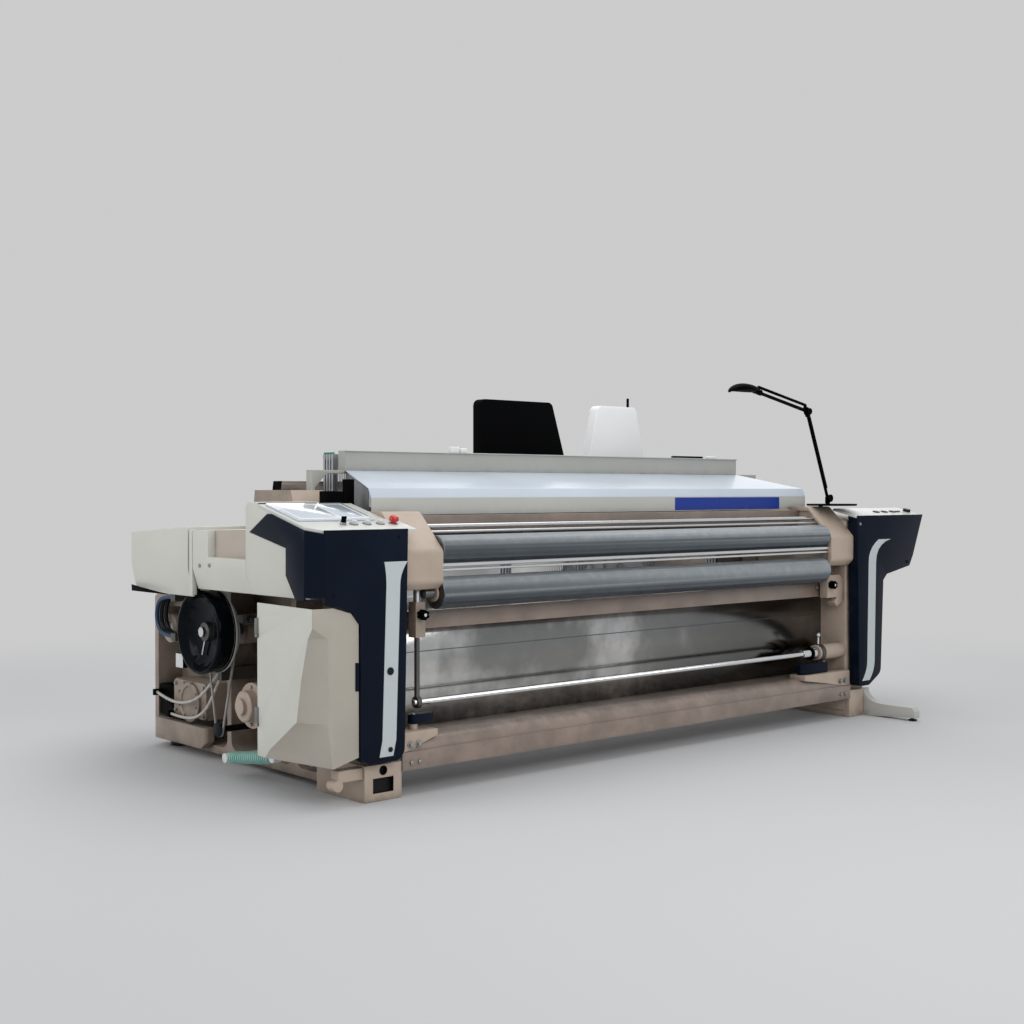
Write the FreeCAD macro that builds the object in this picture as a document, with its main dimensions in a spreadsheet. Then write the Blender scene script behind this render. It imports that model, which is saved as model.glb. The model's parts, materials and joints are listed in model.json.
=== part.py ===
import FreeCAD, Part
import math
import os
import Sketcher
from FreeCAD import Placement, Rotation, Vector

# Power loom, water-jet type, about four metres long.
# Loom co-ordinates: X = 0 on the centre line between the side frames, Y = 0 on
# the beat-up line with -Y towards the weaver, Z = 0 on the floor.  Every piece
# is drawn in these and then moved so that the frame's origin lies under the
# middle of the whole machine.  All sizes are in millimetres.

SIZES = {
    # how far the machine reaches from the centre line and the beat-up line
    "reach_left": 1927, "reach_right": 2100, "reach_front": 913, "reach_rear": 1385,
    # cast side frames: a web on the inner side with a flange all round it
    "frame_inner": 1484, "frame_width": 156, "frame_web": 30, "frame_flange": 34,
    "frame_front": 572, "frame_back": 1132, "frame_low": 30, "frame_shoulder": 1095,
    "frame_crest": 1204, "crest_front": 50, "crest_back": 230, "crest_draft": 40,
    "frame_nose": 1040, "nose_back": 350, "frame_deck": 900, "deck_back": 800, "frame_tail": 700, "bay_round": 45,
    "bay_split_front": 73, "bay_split_back": 447, "boss_wall": 38,
    # front feet, outrigger foot and levelling pads
    "foot_width": 178, "foot_depth": 328, "foot_tall": 142, "foot_front": 600,
    "foot_slot_long": 98, "foot_slot_tall": 58, "foot_slot_deep": 24, "foot_slot_low": 31,
    "foot_hole": 19, "foot_hole_high": 117, "lug_out": 114, "lug_low": 92, "lug_high": 136,
    "lug_front": 590, "lug_back": 540, "lug_eye": 22, "lug_eye_z": 79,
    "rigger_inner": 1612, "rigger_width": 48, "rigger_tall": 70, "rigger_root": 140,
    "rigger_run": 140,
    "rigger_sole": 16, "rigger_nose": 18, "pad_radius": 22, "pad_flange": 50,
    "pad_setback": 26, "rear_pad_inset": 110,
    # cross members between the side frames
    "seat": 0.3, "beam_wall": 8,
    "front_beam_front": 600, "front_beam_back": 392, "front_beam_low": 101,
    "front_beam_top": 232, "front_beam_round": 58, "front_beam_lip": 72, "lip_proud": 6,
    "breast_front": 500, "breast_back": 420, "breast_low": 642, "breast_top": 714,
    "girder_front": 470, "girder_back": 560, "girder_low": 90, "girder_top": 210,
    "tie_radius": 30, "tie_y": 250, "tie_z": 360,
    # top box beam with its flanges, and the arms that carry it
    "beam_half": 1311, "beam_front": 31, "beam_deep": 52, "beam_low": 1290, "beam_top": 1376,
    "beam_flange": 9, "beam_flange_thick": 5, "arm_thick": 15, "arm_post": 18,
    "arm_deep": 40, "arm_lap": 50, "arm_gusset": 60,
    # sloping front cover with its fascia
    "cover_half": 1441, "fascia_y": 341, "fascia_low": 1101, "fascia_top": 1173,
    "cover_nose_y": 322, "cover_nose_z": 1212, "cover_wall": 4, "cover_round": 8, "rail_front": 410,
    "rail_back": 352, "rail_under": 1030, "rail_over": 1099,
    "plate_left": 394, "plate_long": 821, "plate_tall": 62, "plate_thick": 2,
    # brackets that carry the rollers and guide bars
    "bracket_inner": 1291, "bracket_back": 350, "bracket_top": 1117, "bracket_knee_y": 468,
    "bracket_face_y": 621, "bracket_face_top": 963, "bracket_face_low": 838,
    "bracket_toe_y": 590, "bracket_toe_z": 808, "bracket_heel_z": 790, "bracket_round": 30,
    "bracket_groove": 7, "bracket_rim": 22, "bearing_wall": 14, "bearing_deep": 60, "run_clear": 0.05,
    # rollers and bars
    "take_up_y": 560, "take_up_z": 789, "take_up_radius": 65, "journal_radius": 20,
    "press_y": 565, "press_z": 965, "press_radius": 57, "roller_gap": 4,
    "bar_radius": 9, "rod_radius": 6, "bar_a_y": 500, "bar_a_z": 1057, "rod_a_y": 520,
    "rod_a_z": 1034, "bar_b_y": 602, "bar_b_z": 904, "rod_b_y": 602, "rod_b_z": 884,
    "bar_grip": 20,
    # stainless splash plate behind the cloth roller
    "splash_top": 706, "splash_bend": 392, "splash_low_y": 402,
    "splash_thick": 2.5, "splash_half": 1478,
    # cloth roller with its hangers, handles and cradles
    "cloth_y": 540, "cloth_z": 354, "cloth_radius": 12, "cloth_left": 1362,
    "cloth_right": 1262, "sleeve_radius": 22, "sleeve_long": 62, "hanger_x": 1362,
    "hanger_stem": 15, "hanger_seat": 830, "hanger_bar": 11, "hanger_eye": 24, "clamp_top": 757,
    "clamp_low": 615, "clamp_half": 24, "hook_reach": 84, "eye_long": 18,
    "knob_z": 707, "knob_radius": 21, "knob_long": 30, "knob_lobes": 6, "knob_spindle": 7,
    "socket_radius": 29, "socket_long": 51, "socket_boss": 40, "boss_bore": 60, "cradle_top": 250,
    "cradle_low": 168, "cradle_front": 600, "cradle_back": 502, "cradle_lip": 25,
    "cradle_reach": 384, "cradle_short": 180,
    "handle_half": 27, "handle_tip": 1111, "handle_at": 1322, "handle_z": 279,
    "short_half": 19, "short_tip": 1295, "short_at": 1390, "short_z": 292,
    "handle_deep": 44, "handle_pin": 9, "pin_head": 4,
    "lever_x": 1290, "lever_ring": 5, "lever_wide": 28, "lever_long": 92, "lever_radius": 6,
    "lever_ball": 12,
    # consoles at both front corners
    "console_face": 647, "rim_left": 1054, "rim_right": 1070, "console_inner": 1487,
    "column_low": 158, "column_width": 225, "column_taper": 18, "column_round": 48,
    "console_chamfer": 59, "console_shelf": 792, "console_dip": 745, "console_throat": 693, "console_belly": 768,
    "belly_left_x": 1829, "dip_left_x": 1752, "console_skin": 5, "mount_top": 1000,
    "mount_low": 300, "mount_inset": 16,
    "console_wall": 61, "cheek_thick": 4, "cheek_corner_y": 377, "cheek_top_y": 331, "cheek_top_z": 1112,
    "cheek_tip_y": 201, "cheek_tip_z": 1039, "cheek_neck_y": 462, "cheek_neck_top": 984,
    "cheek_neck_low": 880, "right_sill_x": 1972, "right_sill_z": 791, "right_slant_x": 2006,
    "right_slant_z": 847, "right_depth": 160, "dip_right_x": 1757, "dip_right_z": 752,
    "throat_right_x": 1724, "throat_right_z": 721, "foot_right_x": 1702,
    "foot_right_z": 226, "sole_right_x": 1594, "sole_right_z": 166, "right_back": 487,
    "stripe_thick": 3, "stripe_wide": 112, "stripe_narrow": 66, "stripe_margin": 4,
    "stripe_top": 928, "stripe_neck": 838, "stripe_foot": 242, "stripe_low": 179,
    "stripe_bend": 36, "stripe_lean": 20, "stripe_kick": 14, "plug_radius": 15, "plug_small": 10,
    "plug_x": 1576, "plug_high": 507, "plug_low": 205, "stripe_right_x": 1676,
    "stripe_right_top": 941, "stripe_right_neck": 820, "stripe_right_foot": 293,
    "stripe_right_low": 193, "stripe_sweep": 91, "stripe_tail": 45,
    # cream decks with the controls
    "deck_slope": 14.4, "deck_thick": 12, "deck_front": 640, "deck_end": 256,
    "deck_top": 1157, "lid_front": 515, "lid_back": 275, "lid_thick": 7, "lid_left": 1905,
    "lid_right": 1545, "button_y": 560, "button_radius": 11, "button_tall": 9,
    "button_travel": 4, "button_sink": 14, "button_gap": 0.3, "button_flange": 3, "button_x": 1683, "button_pitch": 63,
    "stop_x": 1494, "stop_radius": 19, "stop_neck": 11, "stop_tall": 24, "key_x": 1732,
    "key_radius": 12, "key_tall": 10, "key_bow": 22, "key_neck": 6,
    "deck_left_edge": 1923, "deck_inner": 1440, "tongue_back": 528, "deck_drop": 105,
    "right_deck_z": 1068, "right_deck_edge": 2090,
    "rocker_x": 1742, "rocker_pitch": 76, "rocker_count": 3, "rocker_wide": 36,
    "rocker_deep": 24, "rocker_tall": 6, "rocker_y": 575, "dial_x": 2050, "dial_radius": 21,
    "dial_tall": 16, "pilot_x": 1950, "pilot_radius": 8,
    # covers behind the consoles
    "cover_outer": 1923, "sheet": 4, "tall_back": 166, "tall_top": 1157,
    "tall_crease": 878, "cover_low": 793, "cover_tuck": 26, "mid_top_front": 1047,
    "mid_top_back": 1037, "mid_back": 256, "gap_back": 298, "gap_inset": 30,
    "rear_back": 805, "rear_top_front": 1050, "rear_top_back": 1018, "rear_crease": 877,
    "rear_low": 757, "pocket_back": 130, "pocket_low": 929, "pocket_deep": 34,
    "right_cover_top": 1040,
    # door below the left console
    "door_gap": 5, "door_fold_x": 1925, "door_face": 640, "door_nick": 3,
    "door_hinge_x": 1895, "door_hinge_y": 206, "door_top": 762,
    "door_low": 160, "door_low_front": 30, "door_sheet": 5, "notch": 12,
    "hinge_pin": 6, "hinge_knuckle": 11, "hinge_long": 60, "hinge_low": 290,
    "hinge_high": 640, "hinge_arm": 14, "latch_x": 1725, "latch_z": 442,
    "latch_tall": 109, "latch_wide": 16, "latch_thick": 3,
    # main shaft with its bowl wheel, belt pulley, motor and belt
    "shaft_y": 350, "shaft_z": 600, "shaft_radius": 25, "wheel_outer": 1850,
    "wheel_inner": 1758, "wheel_radius": 179, "wheel_wall": 15, "wheel_throat": 150,
    "wheel_lip": 6, "wheel_floor": 34, "wheel_hub": 40, "hub_proud": 26, "cap_radius": 21,
    "cap_long": 16, "ring_wide": 9, "spoke_radius": 5, "spoke_turn": 200,
    "pulley_outer": 1747, "pulley_wide": 24, "pulley_radius": 137, "groove_deep": 11,
    "groove_wide": 15, "groove_floor": 8, "motor_y": 366, "motor_z": 172,
    "motor_radius": 88, "motor_long": 260, "motor_flange": 98, "motor_flange_thick": 16,
    "motor_shaft": 14, "motor_shaft_in": 60, "motor_pulley": 32, "motor_fins": 16,
    "fin_tall": 8, "fin_thick": 5, "fan_cover": 50, "belt_wide": 6,
    "belt_proud": 1,
    # pump, let-off gearbox and valves on the left side frame
    "pump_y": 128, "pump_z": 300, "pump_neck": 62, "pump_flange": 96, "pump_flange_at": 1700,
    "pump_flange_thick": 20, "pump_hub": 66, "pump_hub_long": 44, "pump_cap": 34,
    "pump_cap_long": 16, "pump_bolts": 6, "pump_bolt": 7, "pump_bolt_ring": 80,
    "gearbox_y": 776, "gearbox_z": 250, "gearbox_wide": 296, "gearbox_tall": 164,
    "gearbox_thick": 12, "gearbox_cover": 90, "gearbox_dome": 14, "basin_front": 580,
    "basin_back": 1060, "basin_low": 48, "basin_top": 142, "basin_deep": 44,
    "valve_front": 935, "valve_back": 1090, "valve_low": 150, "valve_top": 290,
    "valve_deep": 122, "nozzle": 14, "tag_y": 886, "tag_z": 416, "tag_wide": 66,
    "tag_tall": 64, "tag_thick": 6,
    # hoses
    "ribbed_x": 1790, "ribbed_y": 176, "ribbed_z": 84, "ribbed_long": 330,
    "ribbed_lift": 8, "ribbed_radius": 26, "ribbed_root": 21, "ribbed_bore": 17,
    "ribbed_count": 20, "rib_wide": 8, "elbow_radius": 20, "elbow_in": 30, "elbow_arm": 15,
    "clear_radius": 7, "hose_in": 8, "port_split": 12.5, "bundle_radius": 10, "bundle_count": 3, "bundle_pitch": 23,
    "bundle_x": 1655, "bundle_y": 830, "bundle_z": 625, "bundle_bend": 90,
    "bundle_lead": 75, "clamp_thick": 40, "clamp_tall": 34, "port_y": 402, "port_z": 408,
    "port_deep": 208, "port_half": 28,
    # weaving parts between the side frames
    "sley_y": 20, "sley_z": 262, "sley_shaft": 32, "sword_x": 1380, "sword_thick": 26,
    "sword_wide": 70, "sley_half": 1400, "sley_front": 70, "sley_deep": 66,
    "sley_top": 1010, "sley_tall": 84, "reed_thick": 8, "reed_tall": 120, "reed_half": 1290,
    "reed_rib": 14, "reed_dish": 3,
    "heald_first": 152, "heald_pitch": 21, "heald_thick": 13, "heald_half": 1296,
    "heald_top": 1362, "heald_low": 560, "heald_rail": 52, "heald_stile": 22,
    "heald_stays": 4, "heald_stay": 8, "heald_cap": 22, "heald_lift": 42,
    "guide_low": 760, "guide_tall": 120, "guide_lap": 12, "guide_gap": 0.4,
    "warp_y": 985, "warp_z": 560, "warp_flange": 400, "warp_flange_thick": 16,
    "warp_barrel": 80, "warp_inner": 1240, "warp_journal": 30, "warp_hub": 130,
    "rest_y": 742, "rest_z": 968, "rest_radius": 45, "rest_journal": 18, "rest_arm": 40,
    "rest_arm_wide": 90, "rest_half": 1470,
    # covers standing behind the top beam
    "hood_y": 300, "hood_deep": 60, "rail_low": 1204, "rail_tall": 40, "rail_deep": 70,
    "rail_post": 40, "rail_lap": 40, "dark_left": 341, "dark_right": 268, "dark_top": 1652,
    "dark_draw": 66, "pale_left": 372, "pale_right": 849, "pale_top": 1650,
    "pale_draw": 27, "pale_lean": 75, "hood_round": 34, "hood_shell": 6, "stick_x": 726, "stick_radius": 7,
    "stick_long": 50,
    # small boxes on the left frame's shoulder
    "box_outer": 1580, "box_inner": 1500, "box_front": 230, "box_back": 170,
    "box_top": 1200, "slat_inner": 1446, "slat_top": 1249, "slat_thick": 10,
    # lamp
    "lamp_y": 500, "lamp_x": 1424, "lamp_z": 1162, "tray_x": 1460, "tray_radius": 132,
    "tray_low": 1126, "tray_thick": 6, "tray_post_y": 430, "tray_post": 12,
    "lamp_stem": 10, "lamp_fork": 20, "lamp_eye": 16, "lamp_eye_thick": 8, "lamp_cheek": 4,
    "lamp_gap": 1, "elbow_x": 1241,
    "elbow_z": 1616, "wrist_x": 837, "wrist_z": 1697, "arm_tube": 8, "lamp_pin": 4,
    "head_long": 226, "head_wide": 84, "head_tall": 44, "head_shell": 3, "head_tilt": 2,
    # small fasteners
    "screw_radius": 8, "screw_tall": 4,
}

os.makedirs("parts", exist_ok=True)
doc = FreeCAD.newDocument("PowerLoom")
sheet = doc.addObject("Spreadsheet::Sheet", "Sizes")
for row, (alias, number) in enumerate(SIZES.items(), 1):
    sheet.set("A%d" % row, alias)
    sheet.set("B%d" % row, str(number))
    sheet.setAlias("B%d" % row, alias)
doc.recompute()


class Size:
    """A length or angle: its number now, and the expression that gives it."""

    def __init__(self, value, text=None):
        self.value = float(value)
        self.text = text if text is not None else "%.9g" % self.value

    @staticmethod
    def of(other):
        return other if isinstance(other, Size) else Size(other)

    def _join(self, other, sign, value):
        return Size(value, "(%s %s %s)" % (self.text, sign, other.text))

    def __add__(self, other):
        other = Size.of(other)
        return self._join(other, "+", self.value + other.value)

    def __sub__(self, other):
        other = Size.of(other)
        return self._join(other, "-", self.value - other.value)

    def __mul__(self, other):
        other = Size.of(other)
        return self._join(other, "*", self.value * other.value)

    def __truediv__(self, other):
        other = Size.of(other)
        return self._join(other, "/", self.value / other.value)

    def __radd__(self, other):
        return Size.of(other) + self

    def __rsub__(self, other):
        return Size.of(other) - self

    def __rmul__(self, other):
        return Size.of(other) * self

    def __neg__(self):
        return Size(-self.value, "(0 - %s)" % self.text)


class Sheet:
    """Gives each sheet cell by its alias, such as d.frame_inner."""

    def __getattr__(self, alias):
        return Size(SIZES[alias], "Sizes." + alias)


d = Sheet()


def call(name, function, angle):
    """sin, cos or tan of an angle in degrees."""
    angle = Size.of(angle)
    return Size(function(math.radians(angle.value)), "%s(%s)" % (name, angle.text))


def sin(angle):
    return call("sin", math.sin, angle)


def cos(angle):
    return call("cos", math.cos, angle)


def tan(angle):
    return call("tan", math.tan, angle)


SHIFT = ((d.reach_left - d.reach_right) / 2, (d.reach_front - d.reach_rear) / 2, Size(0))
NORMAL = {"YZ": Vector(1, 0, 0), "XZ": Vector(0, -1, 0), "XY": Vector(0, 0, 1)}
nodes = []


def bind(thing, prop, size):
    size = Size.of(size)
    thing.setExpression(prop, size.text)


def move(thing, x=0, y=0, z=0, turn=None):
    """Place a piece that is drawn about its own zero; turn = (axis, angle)."""
    if turn:
        thing.Placement = Placement(Vector(), Rotation(Vector(*turn[0]), Size.of(turn[1]).value))
        bind(thing, "Placement.Rotation.Angle", turn[1])
    for axis, at in zip("xyz", (x, y, z)):
        bind(thing, "Placement.Base." + axis, at)
    return thing


def node(thing, label, x=0, y=0, z=0, turn=None):
    """Name a finished piece and move it into the frame of the whole machine."""
    thing.Label = label
    nodes.append(thing)
    return move(thing, SHIFT[0] + x, SHIFT[1] + y, SHIFT[2] + z, turn)


def body(name):
    return doc.addObject("PartDesign::Body", name)


def attach(piece, plane, at, du=0, dv=0):
    """A sketch on one of the body's own planes, moved to `at` along its normal."""
    sketch = piece.newObject("Sketcher::SketchObject", "Outline")
    base = [o for o in piece.Origin.OriginFeatures if o.Role == plane + "_Plane"][0]
    sketch.AttachmentSupport = [(base, "")]
    sketch.MapMode = "FlatFace"
    at = Size.of(at)
    bind(sketch, "AttachmentOffset.Base.z", -at if plane == "XZ" else at)
    bind(sketch, "AttachmentOffset.Base.x", du)
    bind(sketch, "AttachmentOffset.Base.y", dv)
    return sketch


def draw(sketch, loops):
    """Closed loops: a list of corners, or ('ring', u, v, radius)."""
    for loop in loops:
        first = sketch.GeometryCount
        if loop[0] == "ring":
            u, v, radius = (Size.of(q) for q in loop[1:])
            sketch.addGeometry(Part.Circle(Vector(u.value, v.value, 0), Vector(0, 0, 1),
                                           radius.value), False)
            rules = [("Radius", (first,), radius)]
            rules += [("DistanceX", (-1, 1, first, 3), u), ("DistanceY", (-1, 1, first, 3), v)]
        else:
            pts = [(Size.of(u), Size.of(v)) for u, v in loop]
            places = [Vector(u.value, v.value, 0) for u, v in pts]
            lines = [Part.LineSegment(a, b) for a, b in zip(places, places[1:] + places[:1])]
            sketch.addGeometry(lines, False)
            sketch.addConstraint([Sketcher.Constraint("Coincident", first + i, 2,
                                                      first + (i + 1) % len(pts), 1)
                                  for i in range(len(pts))])
            rules = []
            for i, (u, v) in enumerate(pts):
                rules += [("DistanceX", (-1, 1, first + i, 1), u),
                          ("DistanceY", (-1, 1, first + i, 1), v)]
        for kind, where, size in rules:
            index = sketch.addConstraint(Sketcher.Constraint(kind, *where, size.value))
            sketch.setExpression("Constraints[%d]" % index, size.text)
    return sketch


def feature(piece, kind, name="Feature"):
    return piece.newObject("PartDesign::" + kind, name)


def pad(piece, plane, lo, hi, *loops):
    """Material between lo and hi along the plane's axis."""
    lo, hi = Size.of(lo), Size.of(hi)
    sketch = draw(attach(piece, plane, hi if plane == "XZ" else lo), loops)
    made = feature(piece, "Pad", "Pad")
    made.Profile = sketch
    bind(made, "Length", hi - lo)
    return made


def pocket(piece, plane, lo, hi, *loops):
    """Cut between lo and hi along the plane's axis."""
    doc.recompute()
    before = piece.Shape.Volume
    lo, hi = Size.of(lo), Size.of(hi)
    sketch = draw(attach(piece, plane, lo if plane == "XZ" else hi), loops)
    made = feature(piece, "Pocket", "Pocket")
    made.Profile = sketch
    bind(made, "Length", hi - lo)
    doc.recompute()
    if not piece.Shape.Volume < before - 1e-3:
        raise RuntimeError("a pocket in %s cuts nothing" % piece.Name)
    return made


def turned(piece, axis, u, v, profile, cut=False, along=0):
    """Turn a profile of (along, radius) about X, Y or Z through (u, v)."""
    along = Size.of(along)
    if axis == "X":
        sketch = attach(piece, "XZ", u, along, v)
        line, pts = "H_Axis", [(a, r) for a, r in profile]
    elif axis == "Y":
        sketch = attach(piece, "XY", v, u, along)
        line, pts = "V_Axis", [(r, a) for a, r in profile]
    else:
        sketch = attach(piece, "XZ", v, u, along)
        line, pts = "V_Axis", [(r, a) for a, r in profile]
    draw(sketch, [pts])
    made = feature(piece, "Groove" if cut else "Revolution", "Turned")
    made.Profile = sketch
    made.ReferenceAxis = (sketch, [line])
    made.Angle = 360
    return made


def edges_at(piece, plane, corners):
    """Names of the straight edges along the plane's normal at the given corners."""
    doc.recompute()
    normal, found = NORMAL[plane], []
    for index, edge in enumerate(piece.Shape.Edges, 1):
        if edge.Curve.TypeId != "Part::GeomLine":
            continue
        way = edge.tangentAt(edge.FirstParameter)
        spot = piece.Placement.inverse().multVec(edge.Vertexes[0].Point)
        flat = {"YZ": (spot.y, spot.z), "XZ": (spot.x, spot.z), "XY": (spot.x, spot.y)}[plane]
        if abs(abs(way.dot(normal)) - 1) < 1e-6:
            for u, v in corners:
                if math.hypot(flat[0] - Size.of(u).value, flat[1] - Size.of(v).value) < 0.01:
                    found.append("Edge%d" % index)
    if not found:
        raise RuntimeError("no such corner on " + piece.Name)
    return found


def soften(piece, plane, radius, corners, kind="Fillet"):
    """Round (or chamfer) the edges along the plane's normal at the corners."""
    names = edges_at(piece, plane, corners)
    tip = piece.Tip
    made = feature(piece, kind, kind)
    made.Base = (tip, names)
    bind(made, "Radius" if kind == "Fillet" else "Size", radius)
    return made


def around(piece, source, axis, count):
    """Repeat a feature about one of the piece's axes or a sketch's axis."""
    made = feature(piece, "PolarPattern", "Around")
    made.Originals = [source]
    made.Axis = axis
    made.Angle = 360
    bind(made, "Occurrences", count)
    piece.Tip = made
    return made


def along(piece, source, role, length, count):
    """Repeat a feature along the body's X, Y or Z axis."""
    axis = [o for o in piece.Origin.OriginFeatures if o.Role == role + "_Axis"][0]
    made = feature(piece, "LinearPattern", "Along")
    made.Originals = [source]
    made.Direction = (axis, [""])
    bind(made, "Length", length)
    bind(made, "Occurrences", count)
    piece.Tip = made
    return made


def rect(u0, u1, v0, v1):
    return [(u0, v0), (u1, v0), (u1, v1), (u0, v1)]


def side(hand, a, b):
    """The span from a to b on the right (+1) or its mirror on the left (-1)."""
    a, b = Size.of(a), Size.of(b)
    return (a, b) if hand > 0 else (-b, -a)


def rod(axis, u, v, lo, hi, radius):
    """A plain round bar along X, Y or Z."""
    bar = doc.addObject("Part::Cylinder", "Rod")
    lo, hi = Size.of(lo), Size.of(hi)
    bind(bar, "Radius", radius)
    bind(bar, "Height", hi - lo)
    if axis == "X":
        bar.Placement = Placement(Vector(), Rotation(Vector(0, 1, 0), 90))
        move(bar, lo, u, v)
    elif axis == "Y":
        bar.Placement = Placement(Vector(), Rotation(Vector(1, 0, 0), -90))
        move(bar, u, lo, v)
    else:
        move(bar, u, v, lo)
    return bar


def block(x0, x1, y0, y1, z0, z1):
    box = doc.addObject("Part::Box", "Block")
    for prop, lo, hi in (("Length", x0, x1), ("Width", y0, y1), ("Height", z0, z1)):
        bind(box, prop, Size.of(hi) - lo)
    return move(box, x0, y0, z0)


def joined(parts):
    made = doc.addObject("Part::MultiFuse", "Joined")
    made.Shapes = parts
    return made


def cut(base, tool):
    made = doc.addObject("Part::Cut", "Cut")
    made.Base, made.Tool = base, tool
    return made


def group(parts):
    made = doc.addObject("Part::Compound", "Group")
    made.Links = parts
    return made


# ---------------------------------------------------------------- side frames
frame_outer = d.frame_inner + d.frame_width
web_outer = d.frame_inner + d.frame_web
half_flange = d.frame_flange / 2
bearings = [(d.shaft_y, d.shaft_z, d.shaft_radius), (d.warp_y, d.warp_z, d.warp_journal),
            (d.sley_y, d.sley_z, d.sley_shaft)]


def side_frame(hand):
    """A cast web with flanged bays, bearing bosses and, on the left, drive seats."""
    piece = body("SideFrame")
    lo, hi = side(hand, d.frame_inner, frame_outer)
    pad(piece, "YZ", lo, hi, [
        (-d.frame_front, d.frame_low), (d.frame_back, d.frame_low),
        (d.frame_back, d.frame_tail), (d.deck_back, d.frame_deck),
        (d.crest_back + d.crest_draft, d.frame_deck), (d.crest_back, d.frame_crest),
        (-d.crest_front, d.frame_crest), (-d.crest_front - d.crest_draft, d.frame_shoulder),
        (-d.nose_back, d.frame_shoulder), (-d.frame_front, d.frame_nose)])
    floor = d.frame_low + d.frame_flange
    bays = [rect(-d.frame_front + d.frame_flange, -d.bay_split_front - half_flange,
                 floor, d.frame_nose - d.frame_flange),
            rect(-d.bay_split_front + half_flange, d.bay_split_back - half_flange,
                 floor, d.frame_deck - d.frame_flange),
            rect(d.bay_split_back + half_flange, d.frame_back - d.frame_flange,
                 floor, d.frame_tail - d.frame_flange)]
    pocket(piece, "YZ", *side(hand, web_outer, frame_outer), *bays)
    soften(piece, "YZ", d.bay_round, [corner for bay in bays for corner in bay])
    for y, z, radius in bearings:
        pad(piece, "YZ", *side(hand, web_outer - 1, frame_outer),
            ("ring", y, z, radius + d.boss_wall))
    if hand < 0:
        wide, tall = d.gearbox_wide / 2, d.gearbox_tall / 2
        pad(piece, "YZ", *side(hand, web_outer - 1, frame_outer),
            rect(d.gearbox_y - wide, d.gearbox_y + wide, d.gearbox_z - tall, d.gearbox_z + tall))
        pad(piece, "YZ", *side(hand, web_outer - 1, frame_outer),
            ("ring", d.pump_y, d.pump_z, d.pump_neck))
    holes = [("ring", y, z, radius + d.run_clear) for y, z, radius in bearings]
    if hand < 0:
        holes.append(("ring", d.motor_y, d.motor_z, d.motor_shaft * 2))
    pocket(piece, "YZ", lo, hi, *holes)
    return piece


def hinge_arm(z):
    """An arm on the web that carries one upright pin of the door."""
    half, top = d.hinge_arm / 2, z - d.seat
    arm = block(-d.door_hinge_x - half, -web_outer, -d.door_hinge_y - half,
                -d.door_hinge_y + half, top - d.hinge_arm, top)
    return joined([arm, rod("Z", -d.door_hinge_x, -d.door_hinge_y, top, top + d.hinge_long,
                            d.hinge_pin)])


node(group([side_frame(-1), hinge_arm(d.hinge_low), hinge_arm(d.hinge_high)]),
     "side_frame_left")
node(side_frame(1), "side_frame_right")


# ------------------------------------------------------------- feet and pads
def front_foot(hand):
    """A block under and before the frame's front corner, with a fork slot."""
    piece = body("FrontFoot")
    lo, hi = side(hand, d.frame_inner, d.frame_inner + d.foot_width)
    front, back = -d.foot_front, -d.foot_front + d.foot_depth
    pad(piece, "YZ", lo, hi, rect(front, back, 0, d.foot_tall))
    pocket(piece, "YZ", *side(hand, d.frame_inner, frame_outer),
           rect(-d.frame_front, back, d.frame_low, d.foot_tall))
    if hand < 0:
        mid = -d.frame_inner - d.foot_width / 2
        pocket(piece, "XZ", front, front + d.foot_slot_deep,
               rect(mid - d.foot_slot_long / 2, mid + d.foot_slot_long / 2,
                    d.foot_slot_low, d.foot_slot_low + d.foot_slot_tall),
               ("ring", mid, d.foot_hole_high, d.foot_hole))
    return piece


def swept(a, b, c, steps=5):
    """Points on a smooth curve from a to c that heads for b as it leaves a."""
    pts = []
    for i in range(1, steps):
        t = i / steps
        pts.append(tuple((1 - t) ** 2 * p + 2 * t * (1 - t) * q + t * t * r
                         for p, q, r in zip(a, b, c)))
    return pts


lug_x = -d.frame_inner - d.foot_width
lug = joined([block(lug_x - d.lug_out, lug_x, -d.lug_front, -d.lug_back, d.lug_low, d.lug_high),
              rod("Y", lug_x - d.lug_out, d.lug_eye_z, -d.lug_front, -d.lug_back, d.lug_eye)])
outrigger = body("Outrigger")
nose_y = -d.reach_front + d.rigger_nose
root = (-d.foot_front, d.rigger_root)
shoulder = (-d.foot_front - d.rigger_run, d.rigger_tall)
pad(outrigger, "YZ", d.rigger_inner, d.rigger_inner + d.rigger_width, [
    (-d.foot_front, 0), root, *swept(root, (-d.foot_front - 8, d.rigger_tall), shoulder, 8),
    shoulder, (nose_y, d.rigger_tall),
    (-d.reach_front, d.rigger_tall - d.rigger_nose), (-d.reach_front, d.rigger_sole),
    (-d.reach_front + d.pad_setback * 2, d.rigger_sole), (-d.foot_front - d.rigger_sole * 3, 0)])
node(outrigger, "outrigger_foot")


def pad_foot(x, y, top, radius):
    disc = rod("Z", x, y, 0, top / 2, radius)
    stem = rod("Z", x, y, top / 2, top, radius / 2)
    return joined([disc, stem])


frame_mid = (d.frame_inner + frame_outer) / 2
rear_pad_y = d.frame_back - d.rear_pad_inset
node(group([front_foot(-1), front_foot(1), lug,
    pad_foot(d.rigger_inner + d.rigger_width / 2, -d.reach_front + d.pad_setback,
             d.rigger_sole, d.pad_radius),
    pad_foot(-frame_mid, rear_pad_y, d.frame_low, d.pad_flange),
    pad_foot(frame_mid, rear_pad_y, d.frame_low, d.pad_flange)]), "feet")

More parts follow.
